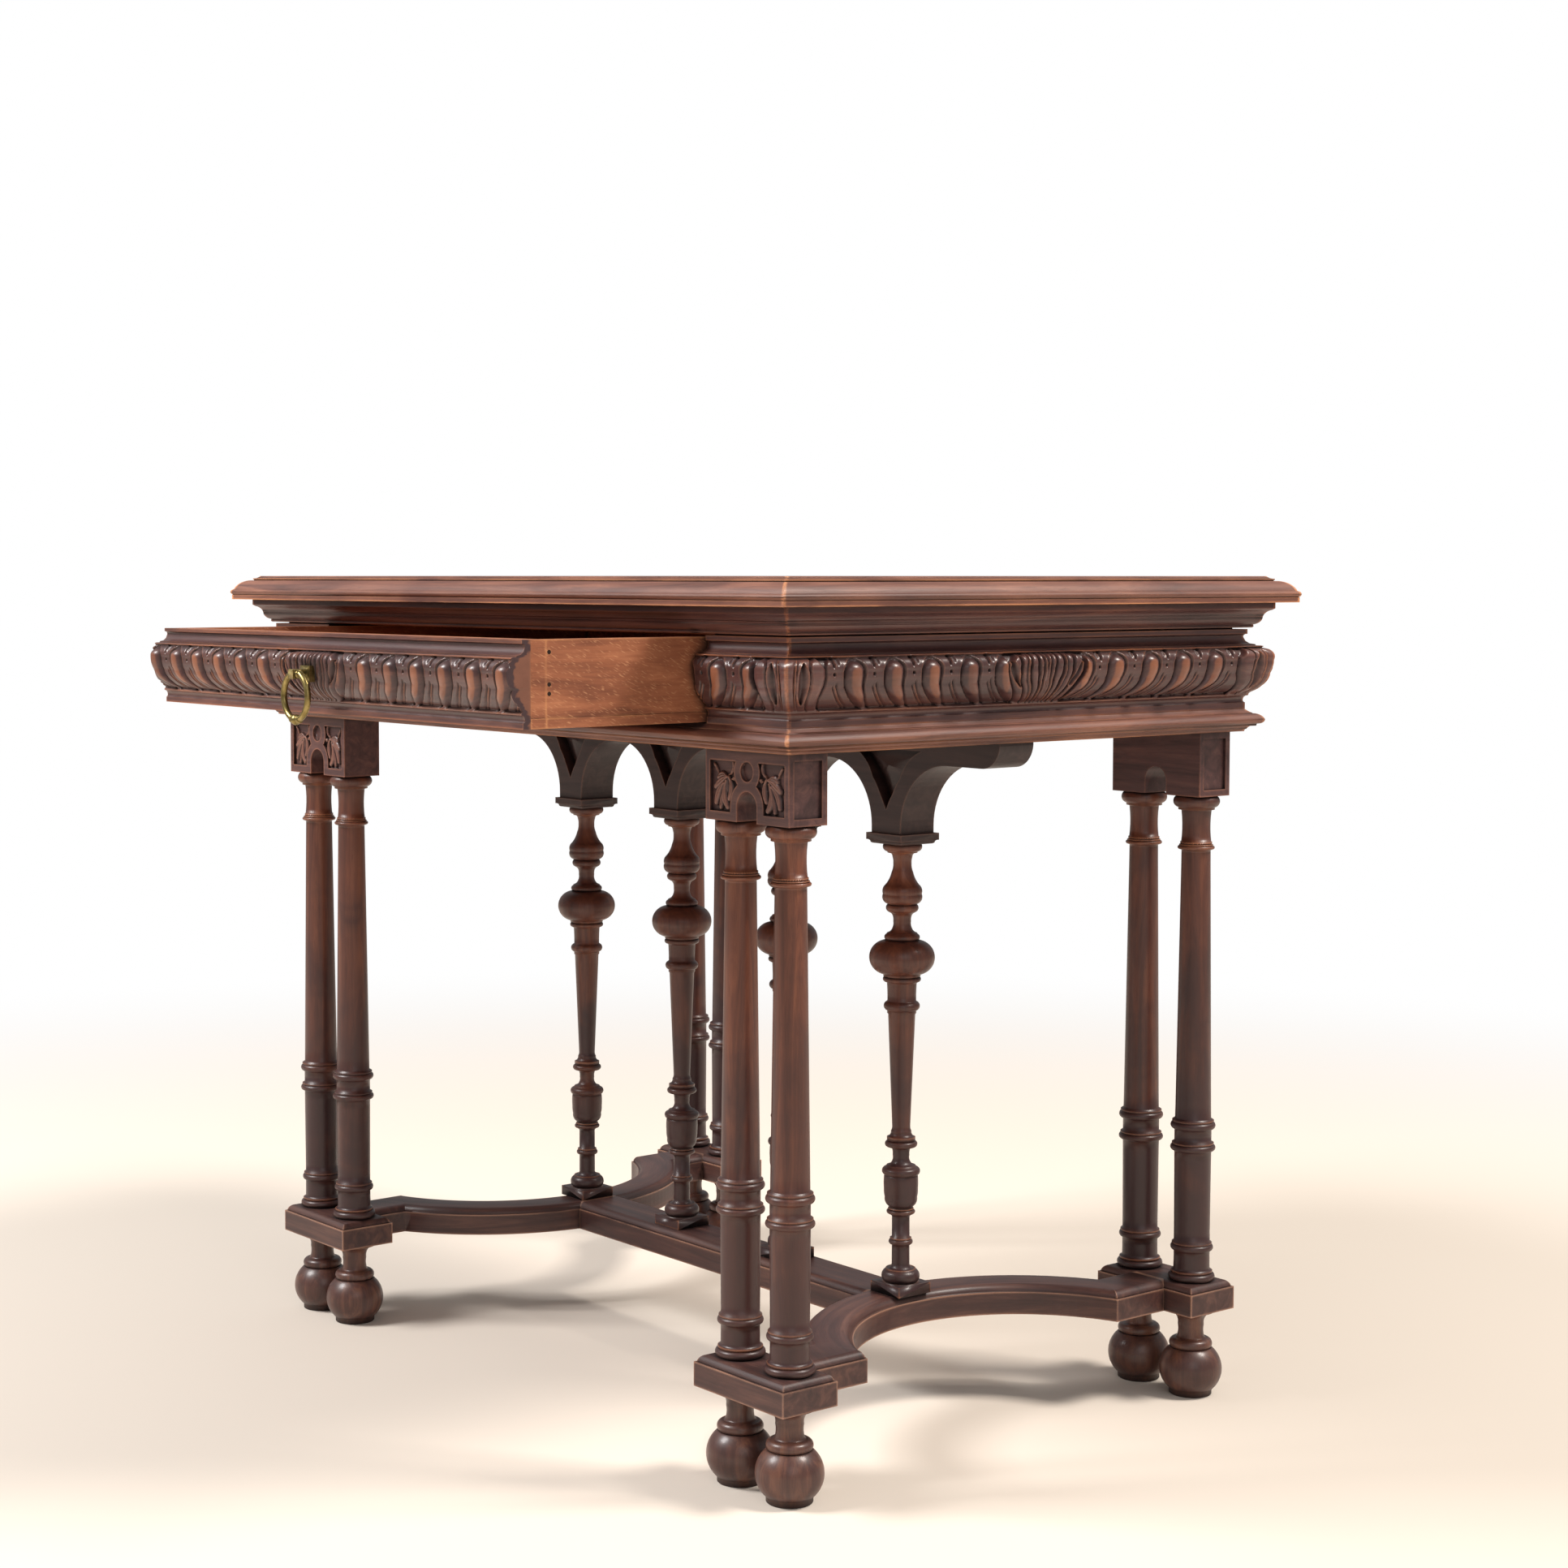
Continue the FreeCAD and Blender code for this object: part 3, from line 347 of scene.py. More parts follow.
# %% Oak
RAY_SLANT = math.radians(24)
RAY_RANGE = (0.61, 0.70)
OAK_STOPS = ((0.36, tone(114, 64, 42)), (0.52, tone(150, 90, 60)), (0.68, tone(180, 116, 80)))
OAK_STAIN, OAK_RAY = tone(112, 62, 40), tone(214, 156, 112)
OAK_DIRT_AND_SHADE, OAK_WORN = tone(44, 26, 20), tone(214, 150, 98)


def oak(name):
    finish = Finish(name)
    place = finish.place()
    figure = finish.noise(finish.stretch(place, (60.0, 9.0, 60.0)), 1.0, detail=4.0, rough=0.6, twist=0.8)
    fibre = finish.noise(finish.stretch(place, (900.0, 45.0, 900.0)), 1.0, detail=2.0, rough=0.6)
    slant = finish.stretch(place, (1.0, 1.0, 1.0), (RAY_SLANT, 0, 0))
    flecks = finish.noise(finish.stretch(slant, (150.0, 150.0, 1250.0)), 1.0, detail=1.0, rough=0.5)
    rays = finish.between(flecks, *RAY_RANGE)
    cloud = finish.noise(place, 16.0, detail=3.0, rough=0.5)
    wood = finish.ramp(figure * 0.6 + fibre * 0.2 + cloud * 0.2, OAK_STOPS)
    wood = finish.mix(finish.between(cloud, 0.50, 0.75) * 0.45, wood, OAK_STAIN)
    wood = finish.mix(rays * 0.42, wood, OAK_RAY)
    # Hollows and joints are painted dark: partly dirt, partly painted shade.
    wood = finish.mix(hollow_mask(finish) * 0.85, wood, OAK_DIRT_AND_SHADE)
    rubbed = edge_mask(finish) * finish.between(cloud, 0.35, 0.6)
    wood = finish.mix(rubbed * 0.5, wood, OAK_WORN)
    height = fibre * 0.5 + rays * 0.25
    relief = finish.bump(height, 0.25, 0.3 * MM)
    rough = 0.52 + fibre * 0.15
    return finish.done({"Base Color": wood, "Roughness": rough, "Normal": relief, "IOR": 1.45})


oak_finish = oak("oak")
print("oak ready")


# %% Brass and iron
BRASS_STOPS = ((0.3, tone(122, 106, 62)), (0.6, tone(164, 146, 94)), (0.8, tone(196, 180, 126)))
BRASS_DIRT = tone(58, 42, 22)
BRASS_HOLLOW = 3 * MM
IRON_STOPS = ((0.35, tone(30, 24, 22)), (0.7, tone(66, 46, 36)))


def brass(name):
    finish = Finish(name)
    place = finish.place()
    cloud = finish.noise(place, 160.0, detail=4.0, rough=0.6)
    scratch = finish.noise(finish.stretch(place, (900.0, 900.0, 240.0)), 1.0, detail=2.0, rough=0.6)
    hollow = hollow_mask(finish, BRASS_HOLLOW)
    metal = finish.mix(hollow * 0.85, finish.ramp(cloud, BRASS_STOPS), BRASS_DIRT)
    relief = finish.bump(cloud * 0.6 + scratch * 0.4, 0.25, 0.15 * MM)
    return finish.done({"Base Color": metal, "Metallic": 1.0 - hollow * 0.5,
                        "Roughness": 0.26 + cloud * 0.16 + hollow * 0.2, "Normal": relief})


def iron(name):
    finish = Finish(name)
    place = finish.place()
    rust = finish.noise(place, 700.0, detail=4.0, rough=0.6)
    metal = finish.ramp(rust, IRON_STOPS)
    relief = finish.bump(rust, 0.4, 0.2 * MM)
    return finish.done({"Base Color": metal, "Metallic": 0.6 + rust * 0.2, "Roughness": 0.55 + rust * 0.2,
                        "Normal": relief})


brass_finish = brass("brass")
iron_finish = iron("iron")
print("brass and iron ready")

# %% [markdown]
# ## The frieze as one carved surface
# The real frieze boards were first run as a moulding and then carved: a row of gadroons, the slanting
# lobes that lean away from a leaf at the middle, and a leaf folded over each corner. Lobes modelled one by
# one would never sink into the moulding, so each board starts as a fine grid that is laid on the
# moulding's outline, and a carver's depth is taken off it: what is left standing is the carving.

# %% Outline of the frieze moulding: set-back from the bead of the top, height, bow, all in millimetres
FRIEZE_ROWS = (
    (34.7, 630.5, 0), (34.7, 636.0, 0), (36.0, 639.3, -0.20), (32.8, 642.6, -0.20), (32.4, 644.1, 0),
    (30.5, 645.6, 0), (24.0, 651.1, 0.06), (18.5, 662.9, 0.09), (16.0, 674.6, 0.05), (20.2, 684.9, 0.20),
    (27.9, 687.7, 0.12), (28.5, 687.9, 0), (28.5, 688.7, 0), (36.3, 695.4, -0.20), (33.6, 698.0, -0.25),
    (33.6, 702.3, 0),
)
BOARD_FOOT, BOARD_TOP = FRIEZE_ROWS[0][1], FRIEZE_ROWS[-1][1]
ARC_STEPS = 12


def frieze_line():
    """The outline as (run along it, set-back, height), dense enough to look round."""
    points = [FRIEZE_ROWS[0][:2]]
    for start, end in zip(FRIEZE_ROWS, FRIEZE_ROWS[1:]):
        bow = end[2]
        lift = (-2 * bow * (end[1] - start[1]), 2 * bow * (end[0] - start[0]))
        pull = ((start[0] + end[0]) / 2 + lift[0], (start[1] + end[1]) / 2 + lift[1])
        for step in range(1, ARC_STEPS + 1):
            t = step / ARC_STEPS
            points.append(tuple((1 - t) ** 2 * start[i] + 2 * t * (1 - t) * pull[i] + t ** 2 * end[i]
                                for i in (0, 1)))
    line = np.array(points)
    along = np.concatenate([[0], np.cumsum(np.hypot(*np.diff(line, axis=0).T))])
    return along, line[:, 0], line[:, 1]


LINE_RUN, LINE_BACK, LINE_UP = frieze_line()
print("frieze outline is", round(LINE_RUN[-1], 1), "mm round")

# %% [markdown]
# ### The carver's depth
# Each lobe is a round-headed drop that narrows toward its foot and sweeps there towards the middle of the
# desk. Its head sits in an arched moat. The ground between the lobes is flat, with a V cut and a small
# gouged curl at its top, a drilled dot beneath, and two fine cuts that follow the sweep of the feet. All
# of it is one function of a place on the board, so a cut that was misread in the photograph is mended by
# one number.

# %% Lobes, moats, cuts and dots
GROUND = 3.9
MOAT = 6.6
TIP_Z = 643.0
HEAD_Z = 674.0
CROWN_Z = 683.0
SWEEP = 25.0
SWEEP_CURL = 2.9
LOBE_HALF = 9.7
HEAD_ROUND = 9.4
# share of the lobe's height, and share of its full width there
LOBE_SHARES = ((0.0, 0.42), (0.12, 0.60), (0.30, 0.84), (0.50, 0.96), (0.70, 1.0), (1.0, 1.0))
V_FOOT, V_CROWN, V_DEPTH = 677, 686, 3.0
CURL_ASIDE, CURL_Z, CURL_DEPTH = -3.6, 682.6, 1.9
DOT_R, DOT_Z, DOT_DEPTH = 1.2, 672.6, 4.5
# fine cuts: place beside the middle of the ground, and height of the upper end
FINE_CUTS = ((-2.6, 667.0), (1.4, 664.5))
FINE_DEPTH, FINE_HALF, FINE_FOOT = 2.3, 1.3, 644.0
RIM_RISE, RIM_AT, RIM_HALF = 0.5, 2.9, 1.1


def ease(value, low, high):
    t = np.clip((value - low) / (high - low), 0, 1)
    return t * t * (3 - 2 * t)


def near(value, width):
    """1 on a line, 0 from width away."""
    return 1 - ease(np.abs(value), 0, width)


def sweep_at(z):
    """How far a lobe has swept towards the middle of the desk at height z."""
    return SWEEP * np.clip((HEAD_Z - z) / (HEAD_Z - TIP_Z), 0, 1) ** SWEEP_CURL


def lobe_shape(across, z):
    """How full the lobe stands, 0 outside to 1 on its back, and how far outside its edge a point lies."""
    t = np.clip((z - TIP_Z) / (CROWN_Z - TIP_Z), 0, 1)
    shares = np.array(LOBE_SHARES)
    half = LOBE_HALF * np.interp(t, shares[:, 0], shares[:, 1])
    head = np.clip(z - CROWN_Z + HEAD_ROUND, 0, None) / HEAD_ROUND
    reach = np.hypot(across / half, head)
    full = np.clip(1 - reach ** 2, 0, 1) ** 0.58 * (0.60 + 0.40 * ease(t, 0, 0.35))
    return full, np.clip(reach - 1, 0, None) * half


def between_lobes(depth, middle, z):
    """The V cut, the curl, the drilled dot and the fine cuts on the ground between two lobes."""
    opening = 0.9 + 2.2 * ease(z, V_FOOT, V_CROWN)
    seen = ease(z, V_FOOT, V_FOOT + 2) * (1 - ease(z, V_CROWN, V_CROWN + 1))
    depth = depth - V_DEPTH * near(middle - 0.9, opening + 0.4) * seen
    off_curl = np.hypot((middle - CURL_ASIDE) * 0.95, (z - CURL_Z) * 0.62)
    depth = depth - CURL_DEPTH * (1 - ease(off_curl, 0.5, 2.6))
    depth = depth - DOT_DEPTH * (1 - ease(np.hypot(middle, z - DOT_Z), DOT_R - 0.9, DOT_R + 0.5))
    sweep = sweep_at(z) * 1.04
    for line, top in FINE_CUTS:
        seen = ease(z, FINE_FOOT, FINE_FOOT + 3) * (1 - ease(z, top - 3, top))
        depth = depth - FINE_DEPTH * near(middle + sweep - line, FINE_HALF) * seen
    return depth


def gadroons(out, z, centres, pitch):
    """Depth of the carving below the moulding, for points out from the middle at height z."""
    depth = np.full_like(out, -GROUND)
    sweep = sweep_at(z)
    for centre in list(centres[1:]) + [centres[-1] + pitch]:
        depth = between_lobes(depth, out - (centre - pitch / 2), z)
    for centre in centres:
        full, beyond = lobe_shape(out - centre + sweep, z)
        depth += RIM_RISE * near(beyond - RIM_AT, RIM_HALF) * ease(z, HEAD_Z - 10, HEAD_Z)
        moat = 1 - ease(beyond, 0.4, 1.4 + 1.2 * ease(z, HEAD_Z - 14, HEAD_Z))
        depth += np.where(full > 0, 0, moat) * (-MOAT - depth)
        depth = np.where(full > 0, MOAT * (full - 1), depth)
    return depth


print("lobe is", 2 * LOBE_HALF, "mm wide and stands", MOAT, "mm over its moat")

# %% [markdown]
# ### Leaves at the corners and at the middle
# The corner leaf is folded over the mitre, so both boards must carry the same depth on the mitre itself: a
# broad smooth rib, a few fine veins, a pointed eye where two lobes of the leaf overlap, and a round outer
# lobe. The leaf in the middle is the same leaf opened like a fan of rounded ribs, with its last lobe laid
# over the first gadroon.

# %% Leaf carving
# veins: distance from the rib, half-width, depth; eyes: distance, half-width, foot, crown, slant
CORNER_VEINS = ((8.6, 1.3, 1.0), (11.2, 1.2, 0.9), (26.6, 1.8, 2.2))
CORNER_EYE = (18.8, 5.8, 649.0, 683.0, 0.0)
CORNER_EDGE = 43.5
MIDDLE_VEINS = ((4.6, 1.6, 2.0), (10.0, 1.9, 3.0), (19.0, 2.2, 3.4), (23.5, 1.4, 1.4), (31.5, 2.3, 3.6))
MIDDLE_EYE = (38.0, 3.8, 657.0, 680.5, 0.26)
MIDDLE_EDGE = 44.5
EYE_DEPTH = 4.6
LEAF_CROWN, LEAF_DROP = 685.5, 7.5
LEAF_ROUND, LEAF_FALL = 9.0, 3.4
SPLIT_FOOT, SPLIT_DEPTH = 672, 2.6
# share of the leaf's full width at its foot, and the heights between which it widens
CORNER_SPREAD = (0.72, 643, 672)
MIDDLE_SPREAD = (0.62, 641, 674)


def spread_at(z, foot_share, low, high):
    return foot_share + (1 - foot_share) * ease(z, low, high)


def leaf_depth(fan, z, veins, eye):
    """A leaf in its own spread: fan counts out from its rib, z is the height on the desk."""
    depth = np.full_like(fan, -0.4)
    waver = 0.7 * np.sin(z * 0.16 + fan * 0.21)
    last = 0.0
    for at, width, cut in veins:
        crest, half = (at + last) / 2, (at - last) / 2
        hump = np.clip(np.abs(fan + waver - crest) / half, 0, 1) ** 2
        depth -= 0.45 * cut * hump * (fan + waver > last) * (fan + waver <= at)
        depth -= cut * near(fan + waver - at, width)
        last = at
    at, half, low, high, slant = eye
    t = np.clip((z - low) / (high - low), 0, 1)
    open_half = half * np.sin(np.pi * t ** 0.85) ** 0.7 + 0.01
    off = np.abs(fan - at - slant * (z - (low + high) / 2)) / open_half
    seen = ease(z, low, low + 2) * (1 - ease(z, high - 2, high))
    return depth - EYE_DEPTH * (1 - ease(off, 0.15, 1.1)) * seen + 0.6 * near(off - 1.4, 0.5) * seen


def lay_leaf(depth, fan, z, edge, leaf):
    """Sets the leaf into the carving, with a moat along its edge."""
    crown = LEAF_CROWN - LEAF_DROP * ease(fan, edge * 0.70, edge) - 1.6 * near(fan - edge * 0.62, 3.0)
    inside = (1 - ease(fan, edge - 1.2, edge + 0.6)) * (1 - ease(z, crown - 1.0, crown + 0.8))
    round_off = LEAF_FALL * np.clip((fan - edge + LEAF_ROUND) / LEAF_ROUND, 0, 1) ** 2.2
    moat = (1 - ease(fan, edge + 1.0, edge + 3.0)) * (1 - inside)
    depth = depth + moat * (-MOAT - depth)
    return depth + inside * (leaf - round_off - depth)


def corner_leaf(depth, inward, z):
    """inward is how far a point lies from the mitre, along the board."""
    fan = inward / spread_at(z, *CORNER_SPREAD)
    return lay_leaf(depth, fan, z, CORNER_EDGE, leaf_depth(fan, z, CORNER_VEINS, CORNER_EYE))


def middle_leaf(depth, out, z):
    """out is how far a point lies from the middle of the board, where the leaf is split from above."""
    fan = out / spread_at(z, *MIDDLE_SPREAD)
    leaf = leaf_depth(fan, z, MIDDLE_VEINS, MIDDLE_EYE)
    opening = 0.6 + 2.6 * ease(z, SPLIT_FOOT, SPLIT_FOOT + 14)
    leaf = leaf - SPLIT_DEPTH * near(out, opening) * ease(z, SPLIT_FOOT - 2, SPLIT_FOOT + 2)
    return lay_leaf(depth, fan, z, MIDDLE_EDGE, leaf)


print("corner leaf reaches", CORNER_EDGE, "mm in from the mitre")

# %% [markdown]
# ### From a grid to a board
# create_grid gives the face, its points are moved onto the moulding less the carver's depth, and the open
# edge is extruded back in steps to the back of the board, with the tongue that meets the cornice, and then
# filled. The mitre is kept true by letting the carving slide along the board near the corner.

# %% Carved board
HALF_LONG = 439.0
HALF_DEEP = 303.5
CELL = 0.77
SOFTEN = ((0, 0), (0.45, 0), (-0.45, 0), (0, 0.55), (0, -0.55))
FACE_ROWS = 60
PLAIN_STEP = 4
MITRE_REACH = 24.0
LOBES_LONG, PITCH_LONG = (42.7, 85.0, 126.0, 167.0, 208.5, 250.0, 291.0, 332.6, 373.5), 41.3
LOBES_DEEP, PITCH_DEEP = (47.5, 86.4, 129.3, 170.2, 212.7), 42.2
CARVED_FOOT = (643.4, 646.0)
CARVED_TOP = (685.0, 687.2)
FINE_ROWS = (643.2, 687.4)
PROUD_DEPTH = (-2.4, -0.2)
LEAF_RUB = 0.3
LEAF_MARGIN = 4
TONGUE_IN = 43.0
BOARD_IN = 52.0
TONGUE_Z = 703.7
AT_END = 1e-6
AT_TOP = 0.05
CRISP_BOARD = 35.0


def carve(run, z, half, centres, pitch):
    """Depth taken off, softened over a few near points, and how proud the place is left, from 0 to 1."""
    back = np.interp(z, LINE_UP, LINE_BACK)
    depth = np.zeros_like(run)
    for aside, above in SOFTEN:
        out = np.abs(run + aside)
        cut = middle_leaf(gadroons(out, z + above, centres, pitch), out, z + above)
        depth += np.minimum(corner_leaf(cut, half - back - out, z + above), 0) / len(SOFTEN)
    cover = ease(z, *CARVED_FOOT) * (1 - ease(z, *CARVED_TOP))
    lobed = ease(np.abs(run), MIDDLE_EDGE - LEAF_MARGIN, MIDDLE_EDGE)
    lobed = lobed * ease(half - back - np.abs(run), CORNER_EDGE - LEAF_MARGIN, CORNER_EDGE)
    return depth * cover, ease(depth, *PROUD_DEPTH) * cover * (LEAF_RUB + (1 - LEAF_RUB) * lobed)


def board_places(u, v, spec):
    """Where the grid's points go: run, set-back, height, depth carved off, and how proud they are left."""
    along = np.interp(v, np.linspace(0, 1, len(spec["rows"])), spec["rows"])
    back = np.interp(along, LINE_RUN, LINE_BACK)
    up = np.interp(along, LINE_RUN, LINE_UP)
    first = spec["left"] if spec["left"] is not None else -(spec["half"] - back)
    last = spec["right"] if spec["right"] is not None else spec["half"] - back
    run = first + u * (last - first)
    depth, proud = carve(run, up, spec["half"], spec["centres"], spec["pitch"])
    slide = 1 - ease(spec["half"] - back - np.abs(run), 0, MITRE_REACH)
    return run + np.sign(run) * depth * slide, back - depth, up, depth, proud


def quarter_turn(run, back, up, spec):
    """Front, right, rear and left boards are the front one turned by quarters."""
    reach = spec["reach"] - back
    x, y = run, -reach + spec["forward"]
    for _ in range(spec["turns"]):
        x, y = -y, x
    return np.stack([x * MM, y * MM, up * MM + FLOOR], axis=1)


def run_at(height):
    """Place along the outline at a height, counted from its lower end."""
    return float(np.interp(height, LINE_UP + np.arange(len(LINE_UP)) * 1e-9, LINE_RUN))


def row_places(low, high):
    """Rows of the grid: close together over the carving, wide apart on the plain mouldings."""
    foot, crown = (run_at(height) for height in FINE_ROWS)
    marks = [LINE_RUN[i] for i in range(len(LINE_RUN))
             if i % ARC_STEPS == 0 or (i % PLAIN_STEP == 0 and FRIEZE_ROWS[i // ARC_STEPS + 1][2])]
    below = [mark for mark in marks if low < mark < foot]
    above = [mark for mark in marks if crown < mark < high]
    return np.concatenate([[low], below, np.linspace(foot, crown, FACE_ROWS), above, [high]])


def board_spec(turns, left=None, right=None, low=BOARD_FOOT, high=BOARD_TOP, forward=0.0, steps=None):
    """One board: its quarter turns, where it is cut off, and the steps that take its edge to its back."""
    long_side = turns % 2 == 0
    steps = steps or ((TONGUE_IN, 0.0), (TONGUE_IN + 0.3, TONGUE_Z - high), (BOARD_IN, TONGUE_Z - high))
    return {"turns": turns, "left": left, "right": right, "rows": row_places(run_at(low), run_at(high)),
            "forward": forward, "steps": steps, "top": high,
            "half": HALF_LONG if long_side else HALF_DEEP,
            "reach": HALF_DEEP if long_side else HALF_LONG,
            "centres": LOBES_LONG if long_side else LOBES_DEEP,
            "pitch": PITCH_LONG if long_side else PITCH_DEEP}


def end_run(side, back, spec):
    """Where a board ends on one side: at its cut, or at the mitre for this set-back."""
    stop = spec["left"] if side < 0 else spec["right"]
    return stop if stop is not None else side * (spec["half"] - back)


def drawn_back(start, back_at, lift, spec):
    """Where a point of the open edge goes when that edge is drawn back: its run and its height."""
    share, old_run, height = start
    side = -1 if share < AT_END else 1 if share > 1 - AT_END else 0
    limit = max(abs(end_run(-1, back_at, spec)), abs(end_run(1, back_at, spec)))
    new_run = end_run(side, back_at, spec) if side else max(min(old_run, limit), -limit)
    return new_run, spec["top"] + lift if height > spec["top"] - AT_TOP else height


def carved_board(spec):
    """The carved face, and the plain wood behind it."""
    first = spec["left"] if spec["left"] is not None else -spec["half"]
    last = spec["right"] if spec["right"] is not None else spec["half"]
    columns = int((last - first) / CELL)
    bm = bmesh.new()
    bmesh.ops.create_grid(bm, x_segments=columns, y_segments=len(spec["rows"]) - 1, size=0.5)
    u = np.array([v.co.x for v in bm.verts]) + 0.5
    v = np.array([v.co.y for v in bm.verts]) + 0.5
    run, back, up, depth, proud = board_places(u, v, spec)
    for vert, place in zip(bm.verts, quarter_turn(run, back, up, spec).tolist()):
        vert.co = place
    edge = [e for e in bm.edges if e.is_boundary]
    marks = [bm.verts.layers.float.new(mark) for mark in ("carved", "proud", "inset")]
    cut_mark, proud_mark, inset_mark = marks
    for vert, cut, left_proud in zip(bm.verts, depth.tolist(), proud.tolist()):
        vert[cut_mark] = -cut
        vert[proud_mark] = left_proud
    where = {vert: (u[i], run[i], up[i]) for i, vert in enumerate(bm.verts)}
    for back_at, lift in spec["steps"]:
        grown = bmesh.ops.extrude_edge_only(bm, edges=edge)["geom"]
        edge = [g for g in grown if isinstance(g, bmesh.types.BMEdge) and g.is_boundary]
        moved = {}
        for vert in {vert for e in edge for vert in e.verts}:
            old = [e.other_vert(vert) for e in vert.link_edges if e.other_vert(vert) in where][0]
            share, _, height = where[old]
            new_run, raised = drawn_back(where[old], back_at, lift, spec)
            vert.co = quarter_turn(*np.array([[new_run], [back_at], [raised]]), spec)[0].tolist()
            vert[inset_mark] = back_at - float(np.interp(height, LINE_UP, LINE_BACK))
            vert[cut_mark] = vert[proud_mark] = 0.0
            moved[vert] = (share, new_run, height)
        where.update(moved)
    bmesh.ops.edgeloop_fill(bm, edges=edge)
    bmesh.ops.recalc_face_normals(bm, faces=bm.faces)
    return bm


def settle(bm, name, body, finish, stands_for=(), crisp=CRISP_BOARD):
    """Turns a finished bmesh into a piece of the desk: shading, finish, body, the node it stands for."""
    mesh = bpy.data.meshes.new(name)
    bm.to_mesh(mesh)
    bm.free()
    mesh.shade_smooth()
    mesh.set_sharp_from_angle(angle=math.radians(crisp))
    mesh.materials.append(finish)
    piece = bpy.data.objects.new(name, mesh)
    bpy.context.scene.collection.objects.link(piece)
    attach(piece, body)
    if stands_for:
        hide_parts(*stands_for)
    return piece


print("boards are cut in columns", CELL, "mm wide")

# %% Carve the six boards
DRAWER_HALF = 299.0
STILE_FROM = 300.5
DRAWER_FORWARD = -178.9
DRAWER_BACK_IN = 41.4
DRAWER_FOOT, DRAWER_TOP = 631.5, 701.0
carved = {
    "drawer_front": board_spec(0, -DRAWER_HALF, DRAWER_HALF, DRAWER_FOOT, DRAWER_TOP, DRAWER_FORWARD,
                               ((DRAWER_BACK_IN, 0.0),)),
    "frieze_stile_right": board_spec(0, left=STILE_FROM),
    "frieze_stile_left": board_spec(0, right=-STILE_FROM),
    "frieze_right": board_spec(1),
    "frieze_rear": board_spec(2),
    "frieze_left": board_spec(3),
}
for node, spec in carved.items():
    bm = carved_board(spec)
    triangles = sum(len(face.verts) - 2 for face in bm.faces)
    finish = carved_across if spec["turns"] % 2 == 0 else carved_deep
    finish = carved_front if node == "drawer_front" else finish
    body = "drawer" if node == "drawer_front" else "desk"
    piece = settle(bm, node + "_carved", body, finish, [node])
    low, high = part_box(node)
    gap = [round((piece.data.vertices[0].co[i] - low[i]) / MM, 1) for i in range(3)]
    print(node, triangles, "triangles, first point from the node's corner", gap)

# %% [markdown]
# ## Smooth skins for turned and moulded pieces
# The imported solids hold true curves, but their meshes are loose facets, and light breaks on each one. A
# copy is welded and its soft edges are shaded smooth, so a column looks turned and a moulding looks
# planed.

# %% Welded copies
WELD = 0.002 * MM
YOKE_CENTRE = 0.4177
YOKE_MIDDLE_R = 0.1808
# an edge that turns by more degrees than this stays crisp
CRISP_TURNED, CRISP_FLAT, CRISP_RING, CRISP_BOSS = 32.0, 14.0, 40.0, 30.0


def lay_bent_grain(bm, end):
    """Keeps for every point its place along the curve, so that the grain can follow the bent stretcher."""
    layer = bm.verts.layers.float_vector.new("grain")
    for vert in bm.verts:
        reach = (end * YOKE_CENTRE - vert.co.x) * end
        turn = math.atan2(vert.co.y, max(reach, 1 * MM))
        away = math.hypot(reach, vert.co.y) - YOKE_MIDDLE_R
        vert[layer] = (away + end, turn * YOKE_MIDDLE_R, vert.co.z)


def skin(node, body, finish, crisp):
    """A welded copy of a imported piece, shaded smooth."""
    bm = bmesh.new()
    bm.from_mesh(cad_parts[node].data)
    bmesh.ops.remove_doubles(bm, verts=bm.verts, dist=WELD)
    if node.startswith("yoke_"):
        lay_bent_grain(bm, 1 if node.endswith("right") else -1)
    return settle(bm, node + "_skin", body, finish, [node], crisp)


def nodes_called(*starts):
    return [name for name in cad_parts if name.startswith(starts)]


skins = (
    (nodes_called("column_", "baluster_"), walnut_upright),
    (nodes_called("feet_"), foot_upright),
    (nodes_called("centre_stretcher", "plinth_"), foot_across),
    (nodes_called("yoke_"), walnut_bent),
    (nodes_called("top_frame_front", "top_frame_rear", "base_mould_front", "base_mould_rear"), top_across),
    (nodes_called("top_frame_left", "top_frame_right", "base_mould_left", "base_mould_right"), top_deep),
    (nodes_called("cornice_front", "cornice_rear"), walnut_across),
    (nodes_called("corner_block_"), block_across),
    (nodes_called("cornice_left", "cornice_right"), walnut_deep),
    (nodes_called("arcade_"), shade_across),
)
FLAT_SIDED = ("corner_block_", "arcade_beam", "centre_stretcher", "yoke_", "plinth_")
for names, finish in skins:
    for node in names:
        skin(node, "desk", finish, CRISP_FLAT if node.startswith(FLAT_SIDED) else CRISP_TURNED)
skin("pull_ring", "pull", brass_finish, CRISP_RING)
skin("pull_boss", "drawer", brass_finish, CRISP_BOSS)
print(sum(len(names) for names, _ in skins) + 2, "pieces have a smooth skin")

# %% [markdown]
# ## Leaves in the sunk fields of the corner blocks
# On the real blocks the carver left an acanthus spray standing in each sunk field: narrow lobes that
# spring from a drilled eye beside the ribbon's ring, with a hooked tip above it. Each spray is a fine grid
# laid in the field: it dips below the field's floor between the lobes, so only the lobes stand out.

# %% Acanthus sprays
SPRAY_CELL = 0.45
